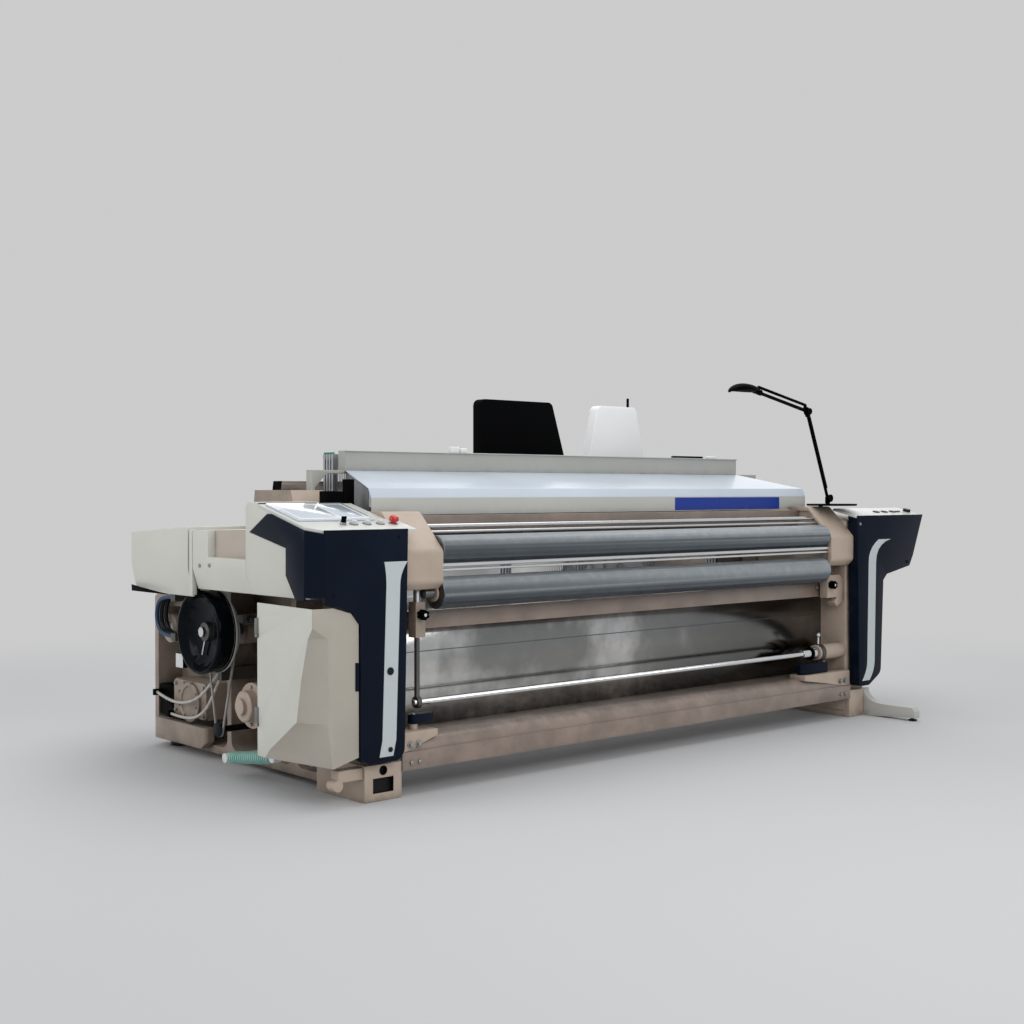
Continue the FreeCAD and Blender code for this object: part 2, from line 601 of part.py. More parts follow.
# ------------------------------------------------------------- cross members
front_beam = body("FrontBeam")
lip_top = d.front_beam_low + d.front_beam_lip
pad(front_beam, "YZ", -d.frame_inner, d.frame_inner, [
    (-d.front_beam_front - d.lip_proud, d.front_beam_low), (-d.front_beam_back, d.front_beam_low),
    (-d.front_beam_back, d.front_beam_top), (-d.front_beam_front, d.front_beam_top),
    (-d.front_beam_front, lip_top), (-d.front_beam_front - d.lip_proud, lip_top)])
soften(front_beam, "YZ", d.front_beam_round, [(-d.front_beam_front, d.front_beam_top)])
inner_top = d.front_beam_top - d.beam_wall
inner_front = -d.front_beam_front + d.beam_wall
pocket(front_beam, "YZ", -d.frame_inner, d.frame_inner, [
    (inner_front, d.front_beam_low - 1), (-d.front_beam_back - d.beam_wall, d.front_beam_low - 1),
    (-d.front_beam_back - d.beam_wall, inner_top), (inner_front + d.front_beam_round, inner_top),
    (inner_front, inner_top - d.front_beam_round)])

breast = body("BreastBeam")
pad(breast, "YZ", -d.frame_inner, d.frame_inner,
    rect(-d.breast_front, -d.breast_back, d.breast_low, d.breast_top))
pocket(breast, "YZ", -d.frame_inner, d.frame_inner,
       rect(-d.breast_front + d.beam_wall, -d.breast_back - d.beam_wall,
            d.breast_low + d.beam_wall, d.breast_top - d.beam_wall))

girder = body("Girder")
pad(girder, "YZ", -d.frame_inner, d.frame_inner,
    rect(d.girder_front, d.girder_back, d.girder_low, d.girder_top))
pocket(girder, "YZ", -d.frame_inner, d.frame_inner,
       rect(d.girder_front + d.beam_wall, d.girder_back - d.beam_wall,
            d.girder_low + d.beam_wall, d.girder_top - d.beam_wall))
tie = rod("X", d.tie_y, d.tie_z, -d.frame_inner, d.frame_inner, d.tie_radius)
rail = block(-d.bracket_inner, d.bracket_inner, -d.rail_front, -d.rail_back, d.rail_under,
             d.rail_over)
node(group([front_beam, breast, girder, tie, rail]), "cross_members")

splash = body("SplashPlate")
bend_y, foot_y = -d.breast_back, -d.splash_low_y
pad(splash, "YZ", -d.splash_half, d.splash_half, [
    (bend_y, d.splash_top), (bend_y, d.splash_bend), (foot_y, d.front_beam_top),
    (foot_y + d.splash_thick, d.front_beam_top), (bend_y + d.splash_thick, d.splash_bend),
    (bend_y + d.splash_thick, d.splash_top)])
node(splash, "splash_plate")

# ------------------------------------------- top beam, its arms and the cover
beam = body("TopBeam")
lip_y = d.beam_front - d.beam_flange
beam_back = d.beam_front + d.beam_deep
pad(beam, "YZ", -d.beam_half, d.beam_half, [
    (d.beam_front, d.beam_low), (beam_back, d.beam_low), (beam_back, d.beam_top),
    (lip_y, d.beam_top), (lip_y, d.beam_top - d.beam_flange_thick),
    (d.beam_front, d.beam_top - d.beam_flange_thick)])
wall = d.beam_flange_thick
pocket(beam, "YZ", -d.beam_half + wall, d.beam_half - wall,
       rect(d.beam_front + wall, beam_back - wall, d.beam_low + wall, d.beam_top - wall))


def beam_arm(hand):
    """Carries the top beam's end from the side frame's crest."""
    piece = body("BeamArm")
    under = d.beam_low - d.arm_thick
    inner = d.frame_inner - d.arm_post
    pts = [(d.frame_inner, d.frame_shoulder), (d.frame_inner, d.beam_low),
           (d.beam_half - d.arm_lap, d.beam_low), (d.beam_half - d.arm_lap, under),
           (inner - d.arm_gusset, under), (inner, under - d.arm_gusset),
           (inner, d.frame_shoulder)]
    pad(piece, "XZ", d.beam_front, d.beam_front + d.arm_deep,
        [(x if hand > 0 else -x, z) for x, z in pts])
    return piece


node(group([beam, beam_arm(-1), beam_arm(1)]), "top_beam")

cover = body("FrontCover")
wall = d.cover_wall
rise = (d.beam_low - d.cover_nose_z) / (d.beam_front + d.cover_nose_y)
pad(cover, "YZ", -d.cover_half, d.cover_half, [
    (-d.fascia_y, d.fascia_low), (-d.fascia_y, d.fascia_top), (-d.cover_nose_y, d.cover_nose_z),
    (d.beam_front, d.beam_low), (d.beam_front, d.beam_low - wall),
    (-d.cover_nose_y + wall, d.cover_nose_z - wall + rise * wall),
    (-d.fascia_y + wall, d.fascia_top - wall / 2), (-d.fascia_y + wall, d.fascia_low)])
for hand in (-1, 1):
    near, far = (d.beam_half, d.cover_half + 1)
    pts = [(near, d.beam_front), (far, -d.cover_nose_y), (far, d.beam_front)]
    pocket(cover, "XY", d.fascia_low, d.beam_low + 1,
           [(x if hand > 0 else -x, y) for x, y in pts])
soften(cover, "YZ", d.cover_round, [(-d.fascia_y, d.fascia_top)])
node(cover, "front_cover")

plate_low = (d.fascia_low + d.fascia_top - d.plate_tall) / 2
plate = body("NamePlate")
pad(plate, "XZ", -d.fascia_y - d.plate_thick, -d.fascia_y,
    rect(d.plate_left, d.plate_left + d.plate_long, plate_low, plate_low + d.plate_tall))
node(plate, "blank_plate")


# ------------------------------------------------- brackets, rollers and bars
roller_axes = [(-d.take_up_y, d.take_up_z), (-d.press_y, d.press_z)]
bars = [(-d.bar_a_y, d.bar_a_z, d.bar_radius), (-d.bar_b_y, d.bar_b_z, d.bar_radius),
        (-d.rod_a_y, d.rod_a_z, d.rod_radius), (-d.rod_b_y, d.rod_b_z, d.rod_radius)]


def roller_bracket(hand):
    """A block with a rimmed inner face, two bearing bores and four bar seats."""
    piece = body("Bracket")
    lo, hi = side(hand, d.bracket_inner, d.frame_inner)
    corners = [(-d.bracket_back, d.bracket_top), (-d.bracket_knee_y, d.bracket_top),
               (-d.bracket_face_y, d.bracket_face_top), (-d.bracket_face_y, d.bracket_face_low),
               (-d.bracket_toe_y, d.bracket_toe_z), (-d.bracket_back, d.bracket_heel_z)]
    pad(piece, "YZ", lo, hi, corners)
    soften(piece, "YZ", d.bracket_round, corners[1:5])
    rim, cant = d.bracket_rim, d.bracket_rim * math.tan(math.pi / 8)
    inset = [(-d.bracket_back - rim, d.bracket_top - rim),
             (-d.bracket_knee_y - cant, d.bracket_top - rim),
             (-d.bracket_face_y + rim, d.bracket_face_top - cant),
             (-d.bracket_face_y + rim, d.bracket_face_low + cant),
             (-d.bracket_toe_y + cant, d.bracket_toe_z + rim),
             (-d.bracket_back - rim, d.bracket_heel_z + rim)]
    face = d.bracket_inner + d.bracket_groove
    pocket(piece, "YZ", *side(hand, d.bracket_inner, face), inset)
    pad(piece, "YZ", *side(hand, d.bracket_inner, face + 1),
        *[("ring", y, z, d.journal_radius + d.bearing_wall) for y, z in roller_axes])
    pocket(piece, "YZ", *side(hand, d.bracket_inner, d.bracket_inner + d.bearing_deep),
           *[("ring", y, z, d.journal_radius + d.run_clear) for y, z in roller_axes])
    pocket(piece, "YZ", *side(hand, d.bracket_inner, d.bracket_inner + d.bar_grip),
           *[("ring", y, z, radius) for y, z, radius in bars])
    spot = side(hand, d.hanger_x, d.hanger_x)[0]
    pocket(piece, "XY", d.bracket_heel_z, d.hanger_seat,
           ("ring", spot, -d.cloth_y, d.hanger_stem))
    return node(piece, "roller_bracket_right" if hand > 0 else "roller_bracket_left")


roller_bracket(-1)
roller_bracket(1)


def roller(label, y, z, radius):
    """A roller with a shallow edge break and a journal at each end."""
    piece = body("Roller")
    face = d.bracket_inner - d.roller_gap
    tip = d.bracket_inner + d.bearing_deep - d.roller_gap
    edge = 3
    turned(piece, "X", y, z, [
        (-tip, 0), (-tip, d.journal_radius), (-face, d.journal_radius),
        (-face, radius - edge), (-face + edge, radius), (face - edge, radius),
        (face, radius - edge), (face, d.journal_radius), (tip, d.journal_radius), (tip, 0)])
    return node(piece, label)


roller("take_up_roller", -d.take_up_y, d.take_up_z, d.take_up_radius)
roller("press_roller", -d.press_y, d.press_z, d.press_radius)

reach = d.bracket_inner + d.bar_grip
node(group([rod("X", y, z, -reach, reach, radius) for y, z, radius in bars]), "guide_bars")

# ------------------------------------- cloth roller, its hangers and handles
cloth = body("ClothRoller")
left_tip = -d.cloth_left - d.eye_long
collar = d.cloth_right - d.socket_long
right_tip = d.cloth_right + d.boss_bore - d.roller_gap
turned(cloth, "X", -d.cloth_y, d.cloth_z, [
    (left_tip, 0), (left_tip, d.cloth_radius), (collar - d.sleeve_long, d.cloth_radius),
    (collar - d.sleeve_long, d.sleeve_radius), (collar, d.sleeve_radius),
    (collar, d.socket_radius), (d.cloth_right - d.roller_gap, d.socket_radius),
    (d.cloth_right - d.roller_gap, d.cloth_radius), (right_tip, d.cloth_radius), (right_tip, 0)])
node(cloth, "cloth_roller")

clamp_front = -d.cloth_y - d.clamp_half
left_hanger = joined([
    rod("Z", -d.hanger_x, -d.cloth_y, d.clamp_top, d.hanger_seat, d.hanger_stem),
    block(-d.hanger_x - d.clamp_half, -d.hanger_x + d.clamp_half, clamp_front,
          -d.cloth_y + d.clamp_half, d.clamp_low, d.clamp_top),
    rod("Z", -d.hanger_x, -d.cloth_y, d.cloth_z + d.cloth_radius * 1.5, d.clamp_low,
        d.hanger_bar),
    rod("X", -d.cloth_y, d.cloth_z, -d.hanger_x - d.eye_long / 2, -d.hanger_x + d.eye_long / 2,
        d.hanger_eye)])
left_hanger = cut(left_hanger, rod("X", -d.cloth_y, d.cloth_z, -d.hanger_x - d.eye_long,
                                   -d.hanger_x + d.eye_long, d.cloth_radius + d.run_clear))
hook = body("HangerHook")
hook_out = d.hanger_x + d.hook_reach
pad(hook, "XZ", clamp_front, -d.cloth_y + d.clamp_half, [
    (d.hanger_x - d.clamp_half, d.clamp_top), (hook_out, d.clamp_top),
    (hook_out + d.clamp_half, d.clamp_top - d.clamp_half), (hook_out + d.clamp_half, d.clamp_low),
    (hook_out - d.clamp_half, d.clamp_low - d.clamp_half), (hook_out - d.clamp_half * 2, d.clamp_low),
    (hook_out - d.clamp_half, d.clamp_low + d.clamp_half),
    (d.hanger_x - d.clamp_half, d.clamp_low + d.clamp_half)])
right_stem = rod("Z", d.hanger_x, -d.cloth_y, d.clamp_top, d.hanger_seat, d.hanger_stem)
spindles = [rod("Y", x, d.knob_z, clamp_front - d.knob_long, clamp_front, d.knob_spindle)
            for x in (-d.hanger_x, d.hanger_x)]
boss = cut(rod("X", -d.cloth_y, d.cloth_z, d.cloth_right, d.frame_inner, d.socket_boss),
           rod("X", -d.cloth_y, d.cloth_z, d.cloth_right, d.cloth_right + d.boss_bore,
               d.cloth_radius + d.run_clear))
hangers = [left_hanger, joined([hook, right_stem]), boss] + spindles


def clamp_knob(label, x):
    """A lobed knob on a fixed spindle."""
    piece = body("Knob")
    back, front = clamp_front - 2, clamp_front - d.knob_long - 3
    pad(piece, "XZ", front, back, ("ring", x, d.knob_z, d.knob_radius - 5))
    lobe = pad(piece, "XZ", front, back,
               ("ring", x, d.knob_z + d.knob_radius - 7, d.knob_radius / 3))
    axis = draw(attach(piece, "XZ", front, x, d.knob_z), [("ring", 0, 0, d.knob_radius)])
    around(piece, lobe, (axis, ["N_Axis"]), d.knob_lobes)
    pocket(piece, "XZ", clamp_front - d.knob_long - 0.5, back,
           ("ring", x, d.knob_z, d.knob_spindle + d.run_clear))
    return node(piece, label)


clamp_knob("clamp_knob_left", -d.hanger_x)
clamp_knob("clamp_knob_right", d.hanger_x)

lever = body("Lever")
half = d.lever_wide / 2
collar_out = d.socket_boss + d.lever_ring
pad(lever, "YZ", d.lever_x - half, d.lever_x + half, ("ring", -d.cloth_y, d.cloth_z, collar_out))
pad(lever, "XY", d.cloth_z + d.socket_boss + 2, d.cloth_z + d.lever_long,
    ("ring", d.lever_x, -d.cloth_y, d.lever_radius))
ball_z = d.cloth_z + d.lever_long
turned(lever, "Z", d.lever_x, -d.cloth_y, [
    (-d.lever_ball, 0), (-d.lever_ball, d.lever_ball / 2), (-d.lever_ball / 2, d.lever_ball),
    (d.lever_ball / 2, d.lever_ball), (d.lever_ball, d.lever_ball / 2), (d.lever_ball, 0)],
    along=ball_z)
pocket(lever, "YZ", d.lever_x - half, d.lever_x + half,
       ("ring", -d.cloth_y, d.cloth_z, d.socket_boss + d.run_clear))
node(lever, "release_lever")

# -------------------------------------------- cradles with their swing handles
pin_y = -(d.cradle_front + d.cradle_back) / 2


def cradle(hand, reach, pin_x, pin_z, half):
    """A shelf shaped to the front beam, with a collar and pin for a handle."""
    piece = body("Cradle")
    tip = d.frame_inner - reach
    pts = [(d.frame_inner, d.cradle_low), (d.frame_inner, d.cradle_top),
           (tip, d.cradle_top), (tip, d.cradle_top - d.cradle_lip)]
    pad(piece, "XZ", -d.cradle_front, -d.cradle_back,
        [(x if hand > 0 else -x, z) for x, z in pts])
    spot = side(hand, pin_x, pin_x)[0]
    pad(piece, "XY", d.cradle_top - 1, pin_z - half - d.seat,
        ("ring", spot, pin_y, d.handle_pin * 2))
    pad(piece, "XY", d.cradle_top, pin_z + half + d.pin_head, ("ring", spot, pin_y, d.handle_pin))
    bend_y = -d.front_beam_front + d.front_beam_round
    bend_z = d.front_beam_top - d.front_beam_round
    span = (-d.frame_inner, d.frame_inner)
    return cut(piece, joined([rod("X", bend_y, bend_z, *span, d.front_beam_round),
                              block(*span, bend_y, -d.cradle_back, d.cradle_low - 5,
                                    d.front_beam_top),
                              block(*span, -d.front_beam_front, -d.cradle_back,
                                    d.cradle_low - 5, bend_z)]))


def swing_handle(label, hand, tip, pin_x, pin_z, half):
    """A bar on an upright pin, round at the pin and narrowed at its tip."""
    piece = body("SwingHandle")
    spot, end = side(hand, pin_x, pin_x)[0], side(hand, tip, tip)[0]
    wide = d.handle_deep / 2
    inner = end + wide * (hand if tip.value < pin_x.value else -hand)
    low, high = pin_z - half, pin_z + half
    pad(piece, "XY", low, high, [
        (spot, pin_y - wide), (inner, pin_y - wide), (end, pin_y - wide / 2),
        (end, pin_y + wide / 2), (inner, pin_y + wide), (spot, pin_y + wide)])
    pad(piece, "XY", low, high, ("ring", spot, pin_y, wide))
    pocket(piece, "XY", low, high, ("ring", spot, pin_y, d.handle_pin + d.run_clear))
    return node(piece, label)


node(group(hangers + [
    cradle(-1, d.cradle_short, d.short_at, d.short_z, d.short_half),
    cradle(1, d.cradle_reach, d.handle_at, d.handle_z, d.handle_half)]), "roller_hangers")
swing_handle("swing_handle_left", -1, d.short_tip, d.short_at, d.short_z, d.short_half)
swing_handle("swing_handle_right", 1, d.handle_tip, d.handle_at, d.handle_z, d.handle_half)


# --------------------------------------------------------------- consoles
def shell(piece, thickness, test):
    """Hollow a piece from the faces that the test picks."""
    doc.recompute()
    inverse = piece.Placement.inverse()
    names = []
    for index, face in enumerate(piece.Shape.Faces, 1):
        if test(inverse.multVec(face.CenterOfMass), face.normalAt(0, 0)):
            names.append("Face%d" % index)
    if not names:
        raise RuntimeError("no open face on " + piece.Name)
    tip = piece.Tip
    made = feature(piece, "Thickness", "Shell")
    made.Base = (tip, names)
    made.Reversed = True
    made.Join = 1
    bind(made, "Value", thickness)
    doc.recompute()
    return made


deck_front_z = d.tall_top - d.deck_drop
face_y = -d.console_face
back_y = face_y + d.console_wall
rise = tan(d.deck_slope)
plumb = d.deck_thick / cos(d.deck_slope)


def deck_seat(front_z, y):
    """Height of a deck's underside at y, for a deck whose front edge is at front_z."""
    return front_z - plumb + (y + d.deck_front) * rise


def seat_cut(piece, x0, x1, front_z, y1):
    """Take away what stands above a deck's underside."""
    high = front_z + 200
    pocket(piece, "YZ", x0, x1, [
        (-d.deck_front, deck_seat(front_z, -d.deck_front)), (y1, deck_seat(front_z, y1)),
        (y1, high), (-d.deck_front, high)])


left = body("ConsoleLeft")
foot_x = -d.console_inner - d.column_width
low_corners = [(-d.console_inner - d.column_taper, d.column_low), (foot_x, d.column_low)]
pad(left, "XZ", face_y, back_y, [
    (-d.reach_left, d.rim_left), (-d.console_inner, d.rim_left)] + low_corners + [
    (foot_x, d.console_throat), (-d.dip_left_x, d.console_dip),
    (-d.belly_left_x, d.console_belly), (-d.reach_left, d.console_shelf)])
soften(left, "XZ", d.column_round, low_corners)
shell(left, d.console_skin, lambda mid, way: abs(way.y) > 0.9 and mid.y > back_y.value - 1)
edge_x = -d.reach_left + d.console_chamfer
pad(left, "XY", d.console_shelf + 10, d.rim_left - 1, [
    (edge_x, face_y), (edge_x + 12, face_y), (-d.reach_left + 12, back_y),
    (-d.reach_left, back_y)])
pocket(left, "XY", d.console_shelf - 60, d.rim_left, [
    (edge_x, face_y - 1), (-d.reach_left - 1, face_y - 1), (-d.reach_left - 1, back_y),
    (-d.reach_left, back_y), (edge_x, face_y)])
mount_in = -d.console_inner - d.column_taper
pad(left, "XZ", face_y + 2, -d.frame_front, rect(
    mount_in - d.column_width / 2, mount_in - d.mount_inset, d.mount_low, d.mount_top))
pad(left, "YZ", -d.reach_left, -d.reach_left + d.cheek_thick, [
    (back_y - 2, d.rim_left), (-d.cheek_corner_y, d.cheek_top_z), (-d.cheek_top_y, d.cheek_top_z),
    (-d.cheek_tip_y, d.cheek_tip_z), (-d.cheek_neck_y, d.cheek_neck_top),
    (-d.cheek_neck_y, d.cheek_neck_low), (-d.cheek_neck_y - 66, d.console_shelf),
    (back_y - 2, d.console_shelf)])
seat_cut(left, -d.reach_left, -d.console_inner, deck_front_z, -d.cheek_top_y)
node(left, "console_left")

right = body("ConsoleRight")
low_corners = [(d.sole_right_x, d.sole_right_z),
               (d.console_inner + d.column_taper, d.sole_right_z)]
upper = [(d.reach_right, d.rim_right), (d.right_slant_x, d.right_slant_z),
         (d.right_sill_x, d.right_sill_z), (d.dip_right_x, d.dip_right_z),
         (d.throat_right_x, d.throat_right_z)]
pad(right, "XZ", face_y, back_y, [(d.console_inner, d.rim_right)] + upper
    + [(d.foot_right_x, d.foot_right_z)] + low_corners)
soften(right, "XZ", d.column_taper, low_corners[1:])
soften(right, "XZ", d.column_round, [(d.foot_right_x, d.foot_right_z), low_corners[0]])
shell(right, d.console_skin, lambda mid, way: abs(way.y) > 0.9 and mid.y > back_y.value - 1)
tub = [(frame_outer + d.sheet, d.rim_right)] + upper[:3] + [
    (frame_outer + d.sheet, d.right_sill_z)]
pad(right, "XZ", back_y - 2, -d.right_back, tub)
pocket(right, "XZ", back_y - 2, -d.right_back - d.console_skin, [
    (frame_outer + d.sheet * 2, d.rim_right + 1), (d.reach_right - 9, d.rim_right + 1),
    (d.right_slant_x - 6, d.right_slant_z + 2), (d.right_sill_x - 6, d.right_sill_z + d.sheet),
    (frame_outer + d.sheet * 2, d.right_sill_z + d.sheet)])
pad(right, "XZ", face_y + 2, -d.frame_front, rect(
    -mount_in + d.mount_inset, -mount_in + d.column_width / 2, d.mount_low, d.mount_top))
seat_cut(right, d.console_inner, d.reach_right, d.right_deck_z, -d.right_back)
node(right, "console_right")

stripe = body("StripeLeft")
x0 = -d.console_inner - d.stripe_margin
x1, x2 = x0 - d.stripe_bend, x0 - d.stripe_bend - d.stripe_lean
x3 = x2 - d.stripe_kick
stripe_front = face_y - d.stripe_thick
bow = (d.stripe_top + d.stripe_neck) / 2
pad(stripe, "XZ", stripe_front, face_y, [
    (x0 - d.stripe_wide, d.stripe_top), (x0, d.stripe_top),
    *swept((x0, d.stripe_top), (x1, bow), (x1, d.stripe_neck)), (x1, d.stripe_neck),
    (x2, d.stripe_foot), (x3, d.stripe_low), (x3 - d.stripe_narrow, d.stripe_low),
    (x2 - d.stripe_narrow, d.stripe_foot), (x1 - d.stripe_narrow, d.stripe_neck),
    *swept((x1 - d.stripe_narrow, d.stripe_neck), (x1 - d.stripe_narrow, bow),
           (x0 - d.stripe_wide, d.stripe_top))])
other = body("StripeRight")
x0 = d.stripe_right_x
x1, x2 = x0 - d.stripe_sweep, x0 - d.stripe_sweep - d.stripe_lean / 2
x3 = x2 - d.stripe_tail
bow = (d.stripe_right_top + d.stripe_right_neck) / 2
low_bow = (d.stripe_right_foot + d.stripe_right_low) / 2
pad(other, "XZ", stripe_front, face_y, [
    (x0, d.stripe_right_top), (x0 + d.stripe_wide, d.stripe_right_top),
    *swept((x0 + d.stripe_wide, d.stripe_right_top), (x1 + d.stripe_narrow, bow + d.stripe_bend),
           (x1 + d.stripe_narrow, d.stripe_right_neck)),
    (x1 + d.stripe_narrow, d.stripe_right_neck), (x2 + d.stripe_narrow, d.stripe_right_foot),
    *swept((x2 + d.stripe_narrow, d.stripe_right_foot), (x2 + d.stripe_narrow, low_bow),
           (x3 + d.stripe_narrow, d.stripe_right_low)),
    (x3 + d.stripe_narrow, d.stripe_right_low), (x3, d.stripe_right_low),
    *swept((x3, d.stripe_right_low), (x2, low_bow), (x2, d.stripe_right_foot)),
    (x2, d.stripe_right_foot), (x1, d.stripe_right_neck),
    *swept((x1, d.stripe_right_neck), (x1, bow + d.stripe_bend / 2), (x0, d.stripe_right_top))])
plugs = [rod("Y", -d.plug_x, z, stripe_front - d.screw_tall, stripe_front, radius)
         for z, radius in ((d.plug_high, d.plug_radius), (d.plug_low, d.plug_small))]
node(group([stripe, other]), "console_stripes")


# ------------------------------------------- cream decks with their controls
def deck(label, front_z, x_lo, x_hi, back_y, corner, extras):
    """A sloping plate; extras(piece) adds what stands on it, in its own frame."""
    piece = body("Deck")
    long = (d.deck_front - back_y) / cos(d.deck_slope) - d.deck_thick * rise
    corners = [(x_hi, 0), (x_hi, long), (x_lo, long)]
    corners += [(x_lo, corner), (x_lo + corner, 0)] if corner else [(x_lo, 0)]
    pad(piece, "XY", -d.deck_thick, 0, corners)
    more = extras(piece)
    thing = group([piece] + more) if more else piece
    return node(thing, label, 0, -d.deck_front, front_z, ((1, 0, 0), d.deck_slope))


def along_deck(y):
    """Distance up the deck from its front edge to the point at depth y."""
    return (d.deck_front - y) / cos(d.deck_slope)


button_v = along_deck(d.button_y)
button_row = [-d.button_x + d.button_pitch * i for i in range(3)]


def left_controls(piece):
    wells = [(x, d.button_radius) for x in button_row] + [(-d.stop_x, d.stop_neck)]
    pad(piece, "XY", -d.deck_thick, 0, rect(
        -d.frame_inner, -d.deck_inner, 0, along_deck(d.tongue_back)))
    for x, radius in wells:
        pad(piece, "XY", 0, d.button_flange, ("ring", x, button_v, radius + d.bearing_wall / 2))
    for x, radius in wells:
        pocket(piece, "XY", -d.deck_thick, d.button_flange,
               ("ring", x, button_v, radius + d.button_gap))
    pocket(piece, "XY", -d.deck_thick, 0, ("ring", -d.key_x, button_v, d.key_radius + d.run_clear))
    return []


def right_controls(piece):
    made = []
    v = along_deck(d.rocker_y)
    for i in range(SIZES["rocker_count"]):
        x = d.rocker_x + d.rocker_pitch * i
        made.append(block(x, x + d.rocker_wide, v - d.rocker_deep / 2, v + d.rocker_deep / 2,
                          0, d.rocker_tall))
    made += [rod("Z", d.pilot_x + d.pilot_radius * 3 * i, v, 0, d.rocker_tall, d.pilot_radius)
             for i in range(2)]
    made.append(rod("Z", d.dial_x, v, 0, d.dial_tall, d.dial_radius))
    return made


deck("deck_left", deck_front_z, -d.deck_left_edge, -d.frame_inner, d.deck_end,
     d.console_chamfer - d.console_skin, left_controls)
deck("deck_right", d.right_deck_z, d.console_inner, d.right_deck_edge, d.right_back, 0,
     right_controls)

lid = body("Lid")
lid_corners = [(-x, along_deck(y)) for x in (d.lid_left, d.lid_right)
               for y in (d.lid_front, d.lid_back)]
pad(lid, "XY", 0, d.lid_thick, [lid_corners[i] for i in (0, 2, 3, 1)])
soften(lid, "XY", d.sheet * 3, lid_corners)
on_left_deck = (0, -d.deck_front, deck_front_z, ((1, 0, 0), d.deck_slope))
node(lid, "screen_lid", *on_left_deck)

under = -d.deck_thick - d.button_gap


def push_piece(label, x, neck, head):
    """A plunger held below the deck by a collar; head lists (height, radius)."""
    piece = body("Plunger")
    turned(piece, "Z", x, button_v, [
        (under - d.button_flange, 0), (under - d.button_flange, neck + d.button_flange),
        (under, neck + d.button_flange), (under, neck)] + head)
    return node(piece, label, *on_left_deck)


proud = d.button_flange + d.button_travel + d.button_tall
for index, x in enumerate(button_row, 1):
    push_piece("button_%d" % index, x, d.button_radius,
               [(proud - 2, d.button_radius), (proud, d.button_radius - 2), (proud, 0)])
neck_top = d.button_flange + d.button_travel + d.sheet
push_piece("emergency_stop", -d.stop_x, d.stop_neck, [
    (neck_top, d.stop_neck), (neck_top, d.stop_radius), (neck_top + d.stop_tall / 2, d.stop_radius),
    (neck_top + d.stop_tall * 0.8, d.stop_radius * 0.8), (neck_top + d.stop_tall, 0)])

key = body("Key")
turned(key, "Z", -d.key_x, button_v, [
    (under - d.button_flange, 0), (under - d.button_flange, d.key_radius + d.button_flange),
    (under, d.key_radius + d.button_flange), (under, d.key_radius),
    (d.key_tall, d.key_radius), (d.key_tall, 0)])
pad(key, "XZ", button_v - 2, button_v + 2, rect(
    -d.key_x - d.key_bow / 2, -d.key_x + d.key_bow / 2, d.key_tall - 1, d.key_tall + d.key_bow))
node(key, "key_switch", *on_left_deck)


# ------------------------------------------------------ covers and the door
def cover_shell(hand, y0, y1, outer, top0, top1, crease, low, recess=None, bend=None):
    """A sheet box, open below, tucked in under its crease, on the side frame."""
    piece = body("Cover")
    peak = top0 if top0.value > top1.value else top1
    pts = [(outer, peak), (outer, crease), (outer - d.cover_tuck, low), (frame_outer, low),
           (frame_outer, peak)]
    pad(piece, "XZ", y0, y1, [(x if hand > 0 else -x, z) for x, z in pts])
    span = side(hand, frame_outer, outer)
    if top0.value != top1.value:
        pocket(piece, "YZ", *span, [(y0, top0 + 1), (y1, top1), (y1, top0 + 1)])
    if recess:
        pocket(piece, "YZ", *side(hand, outer - d.pocket_deep, outer), recess)
    if bend:
        soften(piece, "YZ", bend, [(y1, peak)])
    shell(piece, d.sheet, lambda mid, way: abs(way.z) > 0.5 and mid.z < low.value + 1)
    return piece


tall = cover_shell(-1, back_y, -d.tall_back, d.cover_outer, d.tall_top, d.tall_top,
                   d.tall_crease, d.cover_low, bend=d.cover_tuck)
seat_cut(tall, -d.cover_outer, -frame_outer, deck_front_z, -d.deck_end)
node(tall, "tall_cover")
mid_y = -d.tall_back
rear = cover_shell(-1, d.gap_back, d.rear_back, d.cover_outer, d.rear_top_front, d.rear_top_back,
                   d.rear_crease, d.rear_low)
pocket(rear, "XZ", d.gap_back - 1, d.gap_back + d.sheet + 1, rect(
    -d.cover_outer + d.cover_tuck + d.sheet * 2, -frame_outer - d.sheet, d.rear_low - 1,
    d.cover_low))
node(group([
    cover_shell(-1, mid_y, d.mid_back, d.cover_outer, d.mid_top_front, d.mid_top_back,
                d.tall_crease, d.cover_low,
                recess=rect(mid_y, d.pocket_back, d.pocket_low, d.mid_top_front + 1)),
    cover_shell(-1, d.mid_back, d.gap_back, d.cover_outer - d.gap_inset, d.mid_top_back - 9,
                d.mid_top_back - 9, d.tall_crease, d.cover_low),
    rear,
    cover_shell(1, -d.right_back, d.rear_back, d.cover_outer, d.right_cover_top,
                d.right_cover_top, d.tall_crease, d.cover_low)]), "side_covers")

door_front = -d.console_inner - d.column_width - d.door_gap
wall = d.door_sheet
hinge_x, hinge_y = -d.door_hinge_x, -d.door_hinge_y
# the hollow facet at the door's corner: height, then how far it reaches along
# the front pane (X) and along the side pane (Y)
facet = [(d.door_top, -d.door_fold_x + d.door_nick, -d.door_face + d.door_nick),
         (690, -d.door_fold_x + d.door_nick, -d.door_face + d.door_nick),
         (650, -1858, -606), (490, -1853, -554), (330, -1856, -520), (198, -1842, -309),
         (d.door_low, -1836, -270)]


